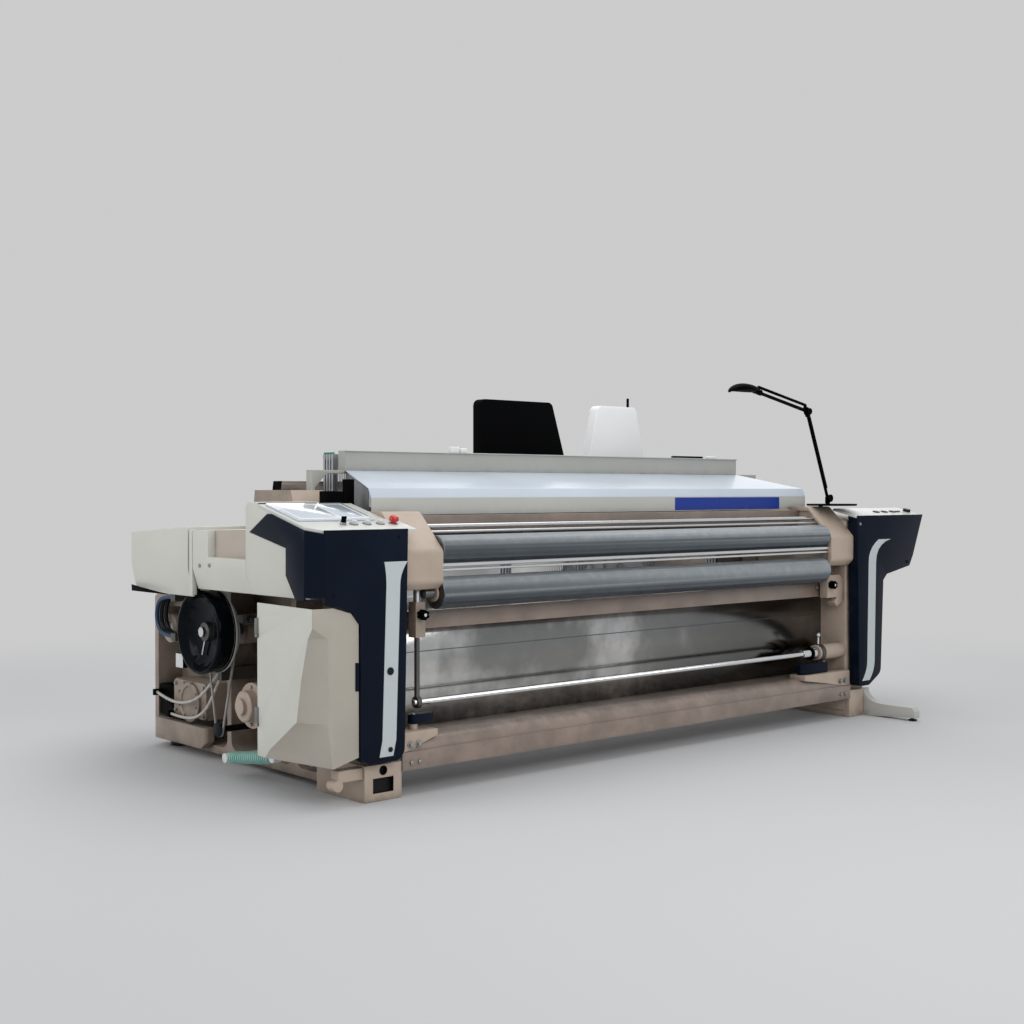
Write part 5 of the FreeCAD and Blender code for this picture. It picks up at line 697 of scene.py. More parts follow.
def cloudy_stainless(rgb):
    """Polished sheet with painted reflections in broad clouds, water marks, dirt and painted shade
    in corners, painted shade towards the right end, and fine level lines.
    """
    tree, main = new_material("splash_stainless", 0.10, 1.0)
    # This noise sets both the hazy roughness and the painted reflection clouds.
    haze_and_reflection = noise(tree, 1.7, 5.0, 0.55, (1.0, 1.0, 0.8))
    marks = effect(tree, "mottle", Colour=rgb, Second=tone(rgb, 0.62), Scale=9.0, Amount=0.45)
    # Dirt and painted shade in the plate's corners and recesses.
    dark = effect(tree, "dirt", Colour=marks["Colour"], Dirt=(0.05, 0.045, 0.04), Amount=0.8,
                  Reach=0.16)
    # Painted reflection: broad dark clouds over the polished sheet.
    painted_reflection_share = times(tree, ramp(tree, haze_and_reflection, 0.42, 0.58), 0.75)
    painted_reflection_clouds = mixed(tree, painted_reflection_share, dark["Colour"], tone(rgb, 0.24))
    # Painted shade: the sheet turns darker towards the right end, along X.
    across = add(tree, "SeparateXYZ", {"Vector": add(tree, "TexCoord").outputs["Object"]})
    painted_shade_along_x = times(tree, ramp(tree, across.outputs["X"], -0.3, 0.9), 0.68)
    feed(tree, main["Base Color"], mixed(tree, painted_shade_along_x, painted_reflection_clouds, tone(rgb, 0.15)))
    feed(tree, main["Roughness"], times_add(tree, haze_and_reflection, 0.16, 0.06))
    lines = effect(tree, "brush", Direction=(0.8, 0.8, 60.0), Scale=3.0)
    bump(tree, main, lines["Height"], 0.30, 0.00002)


def make_plastics(rgb):
    """Rubber, plastic and glass."""
    # Painted highlight: a pale band across the rollers' front faces, laid with the lint effect at
    # 0.80.
    roller_painted_sheen = {"Lint": (0.360, 0.385, 0.400), "From": -0.40, "To": 0.55, "Even": 0.75}
    moulded("roller_rubber", rgb["rollers"], 0.36, 0.6, 700.0, 0.0001, 0.80, 0.66, roller_painted_sheen,
            Coat_Weight=0.30, Coat_Roughness=0.22)
    moulded("black_plastic", rgb["plastic"], 0.34, 0.3, lint=0.02, Specular_IOR_Level=0.25)
    moulded("lamp_black", (0.0008, 0.0008, 0.0010), 0.46, 0.3, lint=0.0,
            Specular_IOR_Level=0.025)
    moulded("graphite_plastic", rgb["graphite"], 0.62, 0.3, 500.0, 0.0002, 0.004,
            Specular_IOR_Level=0.03)
    moulded("hood_white", (0.900, 0.900, 0.895), 0.36, 0.3, 700.0, 0.00004, 0.03,
            (0.84, 0.84, 0.84))
    moulded("milk_plastic", rgb["milk"], 0.34, 0.4, 700.0, 0.00005, 0.05, 0.9)
    moulded("lid_plastic", (0.600, 0.650, 0.700), 0.14, 0.5, 700.0, 0.00003, 0.03,
            (0.50, 0.57, 0.66), Coat_Weight=0.5, Coat_Roughness=0.05)
    moulded("button_pale", (0.60, 0.62, 0.60), 0.30, 0.3, second=(0.50, 0.53, 0.52))
    moulded("stop_red", rgb["red"], 0.26, 0.3, second=0.6, lint=0.03, Coat_Weight=0.3)
    moulded("hose_green", rgb["ribbed"], 0.30, 0.6, second=0.55, lint=0.35)
    moulded("hose_rib", tone(rgb["ribbed"], 1.75), 0.30, 0.4, second=tone(rgb["ribbed"], 1.3),
            lint=0.3)
    moulded("hose_blue", rgb["strand"], 0.32, 0.5, second=0.4, lint=0.05)
    moulded("hose_black", (0.0045, 0.0050, 0.0060), 0.28, 0.3, lint=0.05,
            Specular_IOR_Level=0.35)
    moulded("belt_rubber", rgb["belt"], 0.60, 0.6, second=0.6)
    moulded("tip_green", (0.035, 0.300, 0.140), 0.40, second=(0.02, 0.20, 0.10))
    tree, main = new_material("hose_clear", 0.16, Transmission_Weight=0.30, IOR=1.42)
    base = effect(tree, "mottle", Colour=(0.76, 0.73, 0.67), Second=(0.50, 0.47, 0.41),
                  Scale=40.0, Amount=0.7)
    feed(tree, main["Base Color"], base["Colour"])


# ------------------------------------------------------------------ the stage
PICTURE = 1024              # pixels along one side of the square picture
FOCAL = 1420                # the camera's focal length in the picture's pixels
CAMERA_PLACE = (-4.92625, -5.27878, 1.2)
CAMERA_DOWN, CAMERA_ACROSS = 0.847, -41.518     # degrees
SKY = (0.93, 0.96, 1.0)

# name, place, aim, width and height, power
LIGHTS = [("over", (0.2, -0.4, 4.6), (0, 0, 0.8), (5.5, 3.5), 90),
          ("front", (-1.5, -6.0, 3.2), (0.2, 0, 0.7), (4.5, 2.5), 105),
          ("side", (-5.6, 1.0, 2.6), (-1.0, 0, 0.7), (2.5, 2.5), 50),
          ("window", (4.8, 2.8, 3.0), (0.6, -0.2, 1.2), (4.2, 3.0), 34),
          ("rear", (3.0, 5.5, 3.4), (0, 0, 0.8), (4.0, 2.5), 70)]


class StageOperator(bpy.types.Operator):
    """Set the floor, the soft lights and the camera at the height of a standing viewer"""
    bl_idname = "loom.stage"
    bl_label = "Stage"

    def execute(self, context):
        place_camera(context)
        plain = tuple(context.scene.loom_colours.floor)
        MATERIALS["floor"] = floor_material(plain)
        floor = fresh(bpy.ops.mesh.primitive_circle_add, "floor", vertices=96, radius=60,
                      fill_type="NGON", location=(0, 0, -0.0005))
        coat(floor, "floor")
        world_light(plain)
        soft_lights()
        context.scene.view_settings.view_transform = "Standard"
        return {"FINISHED"}


def seen_by(tree, ray):
    """1 for what the camera sees itself or by one more kind of ray."""
    rays = add(tree, "LightPath").outputs
    return add(tree, "Math", {0: rays["Is Camera Ray"], 1: rays[ray]},
               operation="MAXIMUM").outputs[0]


def blend_shaders(tree, mask, first, second, output):
    """Join two shaders by a mask and give them to the tree's output."""
    mix = add(tree, "MixShader", {0: mask, 1: first.outputs[0], 2: second.outputs[0]})
    add(tree, output, {"Surface": mix.outputs[0]})


def floor_material(plain):
    """Plain floor that takes the loom's shadow and runs out into the backdrop."""
    material = bpy.data.materials.new("floor")
    material.use_nodes = True
    tree = material.node_tree
    tree.nodes.clear()
    away = add(tree, "VectorMath", {0: add(tree, "TexCoord").outputs["Object"]},
               operation="LENGTH")
    far = ramp(tree, away.outputs["Value"], 2.6, 6.0)
    blend_shaders(tree, times(tree, far, seen_by(tree, "Is Glossy Ray")),
                  add(tree, "BsdfDiffuse", {"Color": plain}),
                  add(tree, "Emission", {"Color": plain, "Strength": 1.0}), "OutputMaterial")
    return material


def world_light(plain):
    """A soft even sky, seen as the backdrop's plain grey."""
    world = bpy.data.worlds.new("studio")
    bpy.context.scene.world = world
    world.use_nodes = True
    tree = world.node_tree
    tree.nodes.clear()
    blend_shaders(tree, seen_by(tree, "Is Transmission Ray"),
                  add(tree, "Background", {"Color": SKY, "Strength": 0.58}),
                  add(tree, "Background", {"Color": plain, "Strength": 1.0}), "OutputWorld")


def soft_lights():
    """Large lamps over, before and beside the loom."""
    for name, place, aim, size, power in LIGHTS:
        data = bpy.data.lights.new(name, "AREA")
        data.shape, data.size, data.size_y = "RECTANGLE", *size
        data.energy = power
        lamp = bpy.data.objects.new(name, data)
        bpy.context.scene.collection.objects.link(lamp)
        lamp.location = place
        lamp.rotation_euler = (Vector(aim) - Vector(place)).to_track_quat("-Z", "Y").to_euler()
        lamp.visible_camera = False


def place_camera(context):
    """The camera stands before the left front corner and looks nearly level."""
    data = bpy.data.cameras.new("viewer")
    data.sensor_width = 36.0
    data.lens = FOCAL / PICTURE * data.sensor_width
    data.clip_end = 200
    camera = bpy.data.objects.new("viewer", data)
    context.scene.collection.objects.link(camera)
    camera.location = CAMERA_PLACE
    camera.rotation_euler = (math.radians(90 - CAMERA_DOWN), 0, math.radians(CAMERA_ACROSS))
    context.scene.camera = camera


# ---------------------------------------------------------------------- hoses
UPPER_ROUTE = [(-1660.6, 1077.8, 253.4), (-1670, 960, 232), (-1684, 805, 230),
               (-1696, 640, 264), (-1706, 510, 335), (-1708.1, 395.7, 425.5)]
LOWER_ROUTE = [(-1660.5, 941.0, 166.3), (-1676, 755, 160), (-1692, 585, 206),
               (-1706, 470, 300), (-1708.1, 397.4, 402.0)]
BUNDLE_ROUTE = [(830, 715), (942.3, 715), (995, 662.3), (995, 587.7), (942.3, 535),
                (830, 535)]
BUNDLE_PLACES = (-1655, -1678, -1701)
CLEAR_THICK, BUNDLE_THICK, RIBBED_THICK = 14, 20, 52
UPPER_LONG, LOWER_LONG, BUNDLE_LONG, RIBBED_LONG = 737, 634, 434, 330
RIBBED_TILT = math.radians(8)
RIBBED_ENDS = ((-1790, 176, 84), (-1790, 176 - RIBBED_LONG * math.cos(RIBBED_TILT),
                                  84 + RIBBED_LONG * math.sin(RIBBED_TILT)))
RIB_START = 0.0245      # the ribs begin at this distance from the ribbed hose's middle


def hose(name, points, thick, finish, node):
    """A hose as one smooth line through its route's points, given in millimetres."""
    piece, line = new_curve(name, "NURBS", [mm(*point) for point in points], dimensions="3D",
                            bevel_depth=thick / 2000, bevel_resolution=4, resolution_u=16,
                            use_fill_caps=True)
    line.order_u = 3
    line.use_endpoint_u = True
    coat(piece, finish)
    settle(piece, node, replaces=[node])


class HosesOperator(bpy.types.Operator):
    """Lay the clear hoses and the bundle along their routes and finish the ribbed hose"""
    bl_idname = "loom.hoses"
    bl_label = "Hoses"

    def execute(self, context):
        for name, route, long in (("clear_hose_upper", UPPER_ROUTE, UPPER_LONG),
                                  ("clear_hose_lower", LOWER_ROUTE, LOWER_LONG)):
            hose(name, route, CLEAR_THICK, "hose_clear",
                 "clear_hoses")
        for index, x in enumerate(BUNDLE_PLACES):
            hose("bundle_hose_%d" % (index + 1), [(x, y, z) for y, z in BUNDLE_ROUTE],
                 BUNDLE_THICK, "hose_blue" if x == BUNDLE_PLACES[-1] else "hose_black",
                 "hose_bundle")
        self.ribbed()
        rounded("hose_fittings", "milk_plastic", context.scene.loom_sizes.fine_edge * 1.5,
                patches=[("dark_steel", zone(z=(200, 800)))])
        return {"FINISHED"}

    def ribbed(self):
        """The ribbed hose, whose ribs are paler than the wall between them."""
        foot, far = (mm(*place) for place in RIBBED_ENDS)
        way = (far - foot).normalized()

        def on_rib(at, normal):
            offset = mm(*at) - foot
            return (offset - way * offset.dot(way)).length > RIB_START
        piece = rounded("ribbed_hose", "hose_green", 0.0008, 1, patches=[("hose_rib", on_rib)])


# -------------------------------------------------------- frames and castings
GEARBOX_RING = [(math.cos(turn), math.sin(turn))
                for turn in (math.radians(22.5 + 45 * step) for step in range(8))]

# name, axis, way, points, radius, node
BOLTS = [("beam_bolts", "Y", -1, [(x, -601, z) for x in (-1440, -1400, 1400, 1440)
                                  for z in (130, 200)], 10, "cross_members"),
         ("bracket_bolts", "Y", -1, [(x, -501, 690) for x in (-1330, -1390, 1330, 1390)], 8,
          "cross_members"),
         ("gearbox_bolts", "X", -1, [(-1652.2, y, z) for y in (648, 904) for z in (188, 312)], 8,
          "let_off_gearbox"),
         ("gearbox_ring_bolts", "X", -1, [(-1664.2, 776 + 82 * across, 250 + 82 * up)
                                          for across, up in GEARBOX_RING], 5,
          "let_off_gearbox"),
         ("frame_bolts_right", "X", 1, [(1640.5, y, 90) for y in (-420, 0, 420, 960)], 11,
          "feet"),
         ("frame_bolts_left", "X", -1, [(-1640.5, y, 95) for y in (-200, 1090)], 11, "feet")]


class FramesOperator(bpy.types.Operator):
    """Round and paint the side frames, the feet, the cross members and the brackets"""
    bl_idname = "loom.frames"
    bl_label = "Frames and castings"

    def execute(self, context):
        edge = context.scene.loom_sizes.cast_edge
        # Painted shade on the left frame's inner, lower faces.
        rounded("side_frame_left", "casting_paint", edge * 0.6,
                patches=[("worn_casting", zone(y=(-560, 1120), z=(40, 760)))])
        rounded("side_frame_right", "casting_paint", edge * 0.6)
        rounded("feet", "casting_paint", edge * 0.4, patches=[
            ("black_plastic", zone((-1626, -1520), (-599.4, -565), (26, 93))),
            ("black_plastic", zone((-1600, -1546), (-599.4, -300), (96, 138))),
            ("black_plastic", zone(z=(-1, 22)))])
        # Painted shade as well as oil on the cross members and inner supports; their upper parts
        # keep the lighter casting paint.
        rounded("cross_members", "oily_casting", edge * 0.6)
        rounded("inner_supports", "oily_casting", edge * 0.5, patches=[
            ("casting_paint", zone(x=(-1760, -1440), z=(1030, 1260))),
            ("graphite_plastic", zone(x=(-1600, -1440), z=(1095, 1260)))])
        # The gearbox takes the casting paint darkened as painted shade; the sley takes the oily,
        # shaded one.
        for node, finish, share in (("pump_body", "casting_paint", 0.4),
                                    ("let_off_gearbox", "worn_casting", 0.4),
                                    ("sley", "oily_casting", 0.4),
                                    ("roller_bracket_left", "casting_paint", 1),
                                    ("roller_bracket_right", "casting_paint", 1)):
            rounded(node, finish, edge * share)
        rounded("outrigger_foot", "olive_grey_paint", edge,
                patches=[("casting_paint", zone(y=(-600.4, -590), facing=(0, 1, 0)))])
        rounded("splash_plate", "splash_stainless", 0.0008, 1)
        # Painted shade: a dark strip along the plate's crease.
        block("splash_seam", (-1474, -421.6, 538), (1474, -419.5, 541.5), "dark_steel", 0.0004,
              "splash_plate")
        for row in BOLTS:
            bolts(*row)
        return {"FINISHED"}


# ------------------------------------------------------- top beam and hoods
HOOD_TOP = 1640                 # height of the pale hood's upper face
HOOD_STICK = (726, 300)         # x and y of the short stick on it
CORNER_REACH = 60               # corners further than this from a hood's middle are moved
PANEL_CORNER, PANEL_BACK = (1441, -318), (1313, 29)     # x and y of the cover's slanting end
PANEL_FOOT, PANEL_INSET = 1105, 4


def on_stick(at, normal=None):
    """A test for the short stick on the pale hood's top."""
    return math.hypot(at.x - HOOD_STICK[0], at.y - HOOD_STICK[1]) < 14 and at.z > HOOD_TOP


class TopOperator(bpy.types.Operator):
    """Finish the top beam, the sloping front cover, its plate and the hoods behind"""
    bl_idname = "loom.top"
    bl_label = "Top beam and covers"

    def execute(self, context):
        s = context.scene.loom_sizes
        rounded("top_beam", "beam_paint", s.fine_edge,
                patches=[("fascia_paint", zone(z=(1374, 1380)))])
        rounded("front_cover", "cover_paint", s.sheet_edge * 0.4,
                patches=[("fascia_paint", zone(y=(-345, -335), z=(1100, 1172)))])
        rounded("blank_plate", "plate_blue", 0.0006, 1)
        self.narrow(rounded("hood_dark", "graphite_plastic", s.mould_edge), "hood_dark", 0, 60)
        self.narrow(rounded("hood_pale", "hood_white", s.mould_edge * 0.4,
                            patches=[("lamp_black", on_stick)]), "hood_pale", 24, 56)
        for name, low, high, finish, width in (
                ("beam_clip_left", (-708, 40, 1376), (-662, 70, 1404), "milk_plastic", 0.005),
                ("beam_clip_right", (-655, 40, 1376), (-614, 70, 1398), "milk_plastic", 0.005),
                ("beam_clip_far", (1095, 42, 1376), (1160, 70, 1390), "milk_plastic", 0.005),
                ("beam_pad", (825, 44, 1376), (1050, 76, 1387), "lamp_black", 0.004)):
            block(name, low, high, finish, width, "top_beam", steps=3)
        self.end_panels()
        return {"FINISHED"}

    def narrow(self, piece, node, left, right):
        """Draw a hood's upper corners in by some millimetres."""
        low, high = (own(Vector(corner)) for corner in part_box(node))
        middle, half = (low.x + high.x) / 2, (low.z + HOOD_TOP) / 2
        for side, move in ((-1, left), (1, -right)):
            if move:
                nudge(piece, lambda at, side=side: at.z > half
                      and (at.x - middle) * side > CORNER_REACH and not on_stick(at),
                      (move, 0, 0))

    def end_panels(self):
        """The sheets that close the cover's slanting ends, grey on the left and in the cover's
        paint on the right.
        """
        (x, y), (back_x, back_y) = PANEL_CORNER, PANEL_BACK
        run, up = math.dist(PANEL_CORNER, PANEL_BACK), Vector((0, 0, 1))
        for side, name, finish in ((-1, "cover_end_left", "machine_grey_paint"),
                                   (1, "cover_end_right", "cover_paint")):
            across = Vector((side * (back_x - x), back_y - y, 0)).normalized()
            place = Matrix((across, up, across.cross(up))).transposed().to_4x4()
            place.translation = mm(side * (x - PANEL_INSET), y, PANEL_FOOT)
            plate(name, [(0, 0), (run, 60), (run, 176), (0, 102)], 2.5, place, finish,
                  "front_cover")


# ------------------------------------------------------ rollers and hangers
class RollersOperator(bpy.types.Operator):
    """Finish the rollers, the guide bars and the warp beam"""
    bl_idname = "loom.rollers"
    bl_label = "Rollers"

    def execute(self, context):
        for node, axis, core in (("take_up_roller", TAKE_UP_AXIS, 61),
                                 ("press_roller", PRESS_AXIS, 53)):
            rounded(node, "roller_rubber", 0.0015, 2, 50,
                    [("dark_steel", ring_zone(axis, 0, core))])
        keep("guide_bars", "polished_chrome")
        rounded("cloth_roller", "polished_chrome", 0.001, 1, 50,
                [("black_plastic", ring_zone(CLOTH_AXIS, 20, 40, (1205, 1228)))])
        drum("cloth_roller_collar", "X", (1214, *CLOTH_AXIS), 33, 20, "lamp_black", 0.003,
             "cloth_roller", sides=32, dish=(0.6, 5, (-1, 0, 0)))
        rounded("back_rest_roller", "polished_chrome", 0.001, 1, 50)
        rounded("warp_beam", "machine_grey_paint", 0.0015, 2, 50,
                [("bare_steel", ring_zone(WARP_AXIS, 0, 100))])
        self.flanges()
        return {"FINISHED"}

    def flanges(self):
        """The beads and the ribs of the warp beam's flanges."""
        made, (y, z) = [], WARP_AXIS
        for x in (-1237, 1237):
            for radius in (388, 250):
                made.append(ring("bead", "X", (x, y, z), radius, 7, "machine_grey_paint",
                                 "warp_beam", sides=(72, 8)))
            for turn in (math.radians(30 * step) for step in range(12)):
                start, end = ((x, y + reach * math.cos(turn), z + reach * math.sin(turn))
                              for reach in (120, 384))
                made.append(stick("rib", start, end, 8, "machine_grey_paint", "warp_beam",
                                  sides=10))
        combine("warp_beam_beads", made)


class HangersOperator(bpy.types.Operator):
    """Finish the cloth roller's hangers, knobs, lever and swing handles"""
    bl_idname = "loom.hangers"
    bl_label = "Hangers and handles"

    def execute(self, context):
        edge = context.scene.loom_sizes.fine_edge
        # The left hanger's boss takes the casting paint darkened as painted shade.
        rounded("roller_hangers", "bare_steel", edge * 2, patches=[
            ("casting_paint", zone(x=(1255, 1490), z=(300, 830))),
            ("casting_paint", zone(z=(150, 262))),
            ("dark_steel", zone(x=(-1400, -1330), z=(330, 620))),
            ("worn_casting", zone(x=(-1405, -1325), z=(612, 760)))])
        for node in ("clamp_knob_left", "clamp_knob_right"):
            rounded(node, "lamp_black", edge)
            low, high = (own(Vector(corner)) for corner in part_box(node))
            drum(node + "_cap", "Y", ((low.x + high.x) / 2, low.y + 1, (low.z + high.z) / 2), 7,
                 4, "polished_chrome", 0.001, node, sides=24)
        rounded("release_lever", "polished_chrome", edge,
                patches=[("dark_steel", zone(z=(300, 402)))])
        for node in ("swing_handle_left", "swing_handle_right"):
            rounded(node, "navy_lacquer", edge * 3)
        return {"FINISHED"}


# -------------------------------------------------------- consoles and covers
DECK_FRONT, DECK_SLOPE = -640, math.radians(14.4)
LEFT_DECK_Z, RIGHT_DECK_Z = 1052, 1069.5    # height of each deck's face at its front edge
LID_LIFT = 7                                # from the deck to the lid's upper face
CONTROLS_FROM = 1735                        # least x of the right deck's controls
BUTTON_Y = -560
WELLS = ((-1683, 20), (-1620, 20), (-1557, 20), (-1494, 22))    # x and reach of each rim
SCREWS = ((-1527, 1026, "navy_lacquer"), (-1829, 812, "navy_lacquer"),
          (1952, 812, "navy_lacquer"), (1507, 1026, "zinc_bolt"))


def deck_place(front_z, lift):
    """The plane of a deck: its zero is on the front edge, raised by a few millimetres."""
    place = Matrix.Rotation(DECK_SLOPE, 4, "X")
    place.translation = (mm(0, DECK_FRONT, front_z)
                         + place.to_3x3() @ Vector((0, 0, lift / 1000)))
    return place


def over_deck(at, front_z):
    """Whether a point stands over the slope that starts at a height on the front edge."""
    return at.z > front_z + (at.y - DECK_FRONT) * math.tan(DECK_SLOPE)


def well_rim(x, reach):
    """A test for the raised rim round one button."""
    return lambda at, normal: (math.hypot(at.x - x, at.y - BUTTON_Y) < reach
                               and over_deck(at, LEFT_DECK_Z))


def control_on_right(at, normal):
    """A test for what stands proud of the right deck."""
    return over_deck(at, RIGHT_DECK_Z) and at.x > CONTROLS_FROM


class ConsolesOperator(bpy.types.Operator):
    """Finish both consoles, their stripes, decks, lid, buttons and key"""
    bl_idname = "loom.consoles"
    bl_label = "Consoles and controls"

    def execute(self, context):
        s = context.scene.loom_sizes
        rounded("console_left", "navy_lacquer", s.sheet_edge)
        rounded("console_right", "navy_lacquer", s.sheet_edge,
                patches=[("black_plastic", zone(facing=(1, 0, 0), least=0.5))])
        rounded("console_stripes", "stripe_silver", 0.0008, 1)
        rounded("deck_left", "deck_paint", s.sheet_edge * 0.5,
                patches=[("machine_grey_paint", well_rim(*well)) for well in WELLS])
        rounded("deck_right", "deck_paint", s.sheet_edge * 0.3,
                patches=[("black_plastic", control_on_right)])
        rounded("screen_lid", "lid_plastic", s.fine_edge * 1.5)
        for index in (1, 2, 3):
            rounded("button_%d" % index, "button_pale", s.fine_edge * 0.6)
        rounded("emergency_stop", "stop_red", s.fine_edge)
        rounded("key_switch", "bare_steel", s.fine_edge * 0.5,
                patches=[("lamp_black", zone(z=(1082, 1110)))])
        rounded("panel_screws", "black_plastic", s.fine_edge * 0.8, patches=[
            *((finish, zone((x - 14, x + 14), None, (z - 14, z + 14)))
              for x, z, finish in SCREWS),
            ("zinc_bolt", zone(y=(60, 240), z=(860, 930)))])
        for name, (x0, v0), (x1, v1), tall, finish in (
                ("screen_frame", (-1890, 140), (-1565, 355), 1.2, "milk_plastic"),
                ("screen_face", (-1878, 152), (-1700, 345), 2.2, "lid_plastic"),
                ("key_face", (-1690, 152), (-1577, 345), 2.2, "lid_plastic")):
            plate(name, [(x0, v0), (x1, v0), (x1, v1), (x0, v1)], tall,
                  deck_place(LEFT_DECK_Z, LID_LIFT + tall / 2), finish, "screen_lid")
        return {"FINISHED"}


class CoversOperator(bpy.types.Operator):
    """Finish the side covers and the door"""
    bl_idname = "loom.covers"
    bl_label = "Side covers and door"

    def execute(self, context):
        edge = context.scene.loom_sizes.sheet_edge
        rounded("tall_cover", "cream_paint", edge)
        rounded("side_covers", "cream_paint", edge,
                patches=[("pocket_paint", zone((-1905, -1870), (-480, 140), (920, 1060)))])
        rounded("door_left", "cream_paint", edge * 0.4, patches=[
            # Painted shade: the door's facets that look forward and down take the darker door
            # colour.
            ("door_paint", zone(facing=(0, -1, 0), least=0.45)),
            ("door_paint", zone(z=(150, 330), facing=(-0.4, -0.4, -0.82), least=0.5)),
            ("navy_lacquer", zone(y=(-645, -640.2), z=(380, 500))),
            ("machine_grey_paint", zone((-1910, -1880), (-225, -190), (285, 705)))])
        self.joint()
        return {"FINISHED"}

    def joint(self):
        """The strip in the joint of the two left covers, a black back behind it as painted shade in
        the seam, and a thin black strip along the rear cover's lower edge.
        """
        block("cover_joint_strip", (-1921, 263, 766), (-1898, 291, 1040), "cream_paint", 0.003,
              "side_covers")
        # Painted shade: a black back behind the joint, so the narrow gaps beside the strip look
        # dark.
        block("cover_joint_back", (-1897, 250, 766), (-1890, 304, 1036), "lamp_black", 0.001,
              "side_covers")
        # A thin black plate along the rear cover's lower edge.
        place = Matrix(((0, 0, -1, 0), (1, 0, 0, 0), (0, 1, 0, 0), (0, 0, 0, 1)))
        place.translation = mm(-1924, 0, 0)
        plate("rear_cover_guard", [(470, 757.5), (800, 757.5), (803, 786), (640, 772), (470, 760)],
              2, place, "lamp_black", "side_covers")


# -------------------------------------------------------- drive and weaving
WATER_X = -1523                         # the water lines lie in this plane
WATER_LINES = [((458, 310), (458, 690)), ((484, 330), (484, 560)), ((484, 560), (520, 690)),
               ((530, 300), (512, 610))]
WATER_NUTS = [(458, 420), (458, 600), (484, 480)]
FRAME_PITCH, WIRE_INSET = 42, 2         # between the two frames of a pair, and their wires
WIRE_PITCH, WIRE_COUNT = 12, 210
DENT_PITCH, DENT_COUNT = 8, 320


class DriveOperator(bpy.types.Operator):
    """Finish the main shaft with its bowl wheel, the motor, pulley and belt"""
    bl_idname = "loom.drive"
    bl_label = "Drive"

    def execute(self, context):
        edge = context.scene.loom_sizes.fine_edge
        rounded("main_shaft", "wheel_black", 0.001, 2, 40, [
            (finish, ring_zone(SHAFT_AXIS, low, high, span)) for finish, low, high, span in (
                ("bare_steel", 0, 60, (-1720, 1700)),
                ("fascia_paint", 60, 150, (-1750, -1720)),
                ("fascia_paint", 166, 185, (-1770, -1755)),
                ("dark_steel", 0, 46, (-1819, -1794)),
                ("polished_chrome", 0, 25, (-1850, -1819)),
                ("polished_chrome", 58, 108, (-1812, -1797)))])
        self.cross_shaft()
        self.water_lines()
        rounded("motor", "machine_grey_paint", edge)
        rounded("motor_pulley", "wheel_black", edge * 0.5)
        keep("drive_belt", "belt_rubber")
        rounded("valve_block", "lamp_black", edge * 2, patches=[
            ("milk_plastic", zone(y=(850, 925), z=(380, 450), facing=(-1, 0, 0))),
            ("casting_paint", zone(y=(850, 1000), z=(292, 384)))])
        return {"FINISHED"}

    def cross_shaft(self):
        """The cross shaft with its collars, in its two brackets."""
        shaft = stick("cross_shaft", (-1656, 288, 653), (-1656, 130, 647), 10, "bare_steel",
                      "inner_supports")
        collars = [drum("cross_shaft_collar", "Y", (-1656, y, 651), 17, 16, "dark_steel", 0.002,
                        "inner_supports", sides=24) for y in (196, 244)]
        combine("cross_shaft", [shaft, *collars])
        for name, y in (("shaft_bracket_rear", 270), ("shaft_bracket_front", 160)):
            # The brackets take the oily casting paint, darkened partly as painted shade.
            block(name, (-1672, y - 11, 628), (-1513, y + 11, 672), "oily_casting", 0.004,
                  "inner_supports", steps=3)

    def water_lines(self):
        """The water lines above the pump, with their nuts."""
        lines = [stick("water_line", (WATER_X, *start), (WATER_X, *end), 8, "copper_line",
                       "inner_supports") for start, end in WATER_LINES]
        nuts = [drum("water_nut", "Z", (WATER_X, *place), 13, 18, "bare_steel", 0.001,
                     "inner_supports", sides=6) for place in WATER_NUTS]
        combine("water_lines", lines + nuts)


class WeavingOperator(bpy.types.Operator):
    """Finish the reed and the heald frames and add their dents and wires"""
    bl_idname = "loom.weaving"
    bl_label = "Reed and healds"

    def execute(self, context):
        keep("reed", "bare_steel")
        for node, first in (("heald_frames_odd", 158.5), ("heald_frames_even", 179.5)):
            keep(node, "heald_aluminium")
            wires = []
            for y in (first, first + FRAME_PITCH - WIRE_INSET):
                wire = block(node + "_wires", (-1260, y - 0.6, 614), (-1258.6, y + 0.6, 1310),
                             "bare_steel", 0.0002, node, steps=1)
                wires.append(repeated(node + "_wires", wire, [(WIRE_PITCH * step, 0, 0)
                                                              for step in range(1, WIRE_COUNT)]))
            combine(node + "_wires", wires)
            tips = [drum(node + "_tips", "Z", (-1285, y, 1366), 6.5, 10, "tip_green", 0.0008,
                         node, sides=14) for y in (first, first + FRAME_PITCH)]
            combine(node + "_tips", tips)
        dent = block("reed_dents", (-1280, -27.5, 1024), (-1279, -16.5, 1116), "bare_steel",
                     0.0002, "reed", steps=1)
        repeated("reed_dents", dent, [(DENT_PITCH * step, 0, 0) for step in range(1, DENT_COUNT)])
        return {"FINISHED"}


# ----------------------------------------------------------------------- lamp
LAMP_Y = -500
LAMP_FOOT, LAMP_ELBOW, LAMP_WRIST = (1424, 1162), (1241, 1616), (837, 1697)     # x and z

# x, half width, lowest and highest point of the shade, from its hinge to its tip
HEAD_STATIONS = [(849, 9, 1692, 1716), (834, 15, 1689, 1721), (812, 24, 1687, 1727),
                 (780, 35, 1685, 1734), (738, 41, 1684.5, 1738), (694, 41, 1684.5, 1737),
                 (660, 36, 1684.5, 1728), (634, 25, 1684.5, 1714), (618, 13, 1685, 1702),
                 (611, 5, 1688, 1695)]

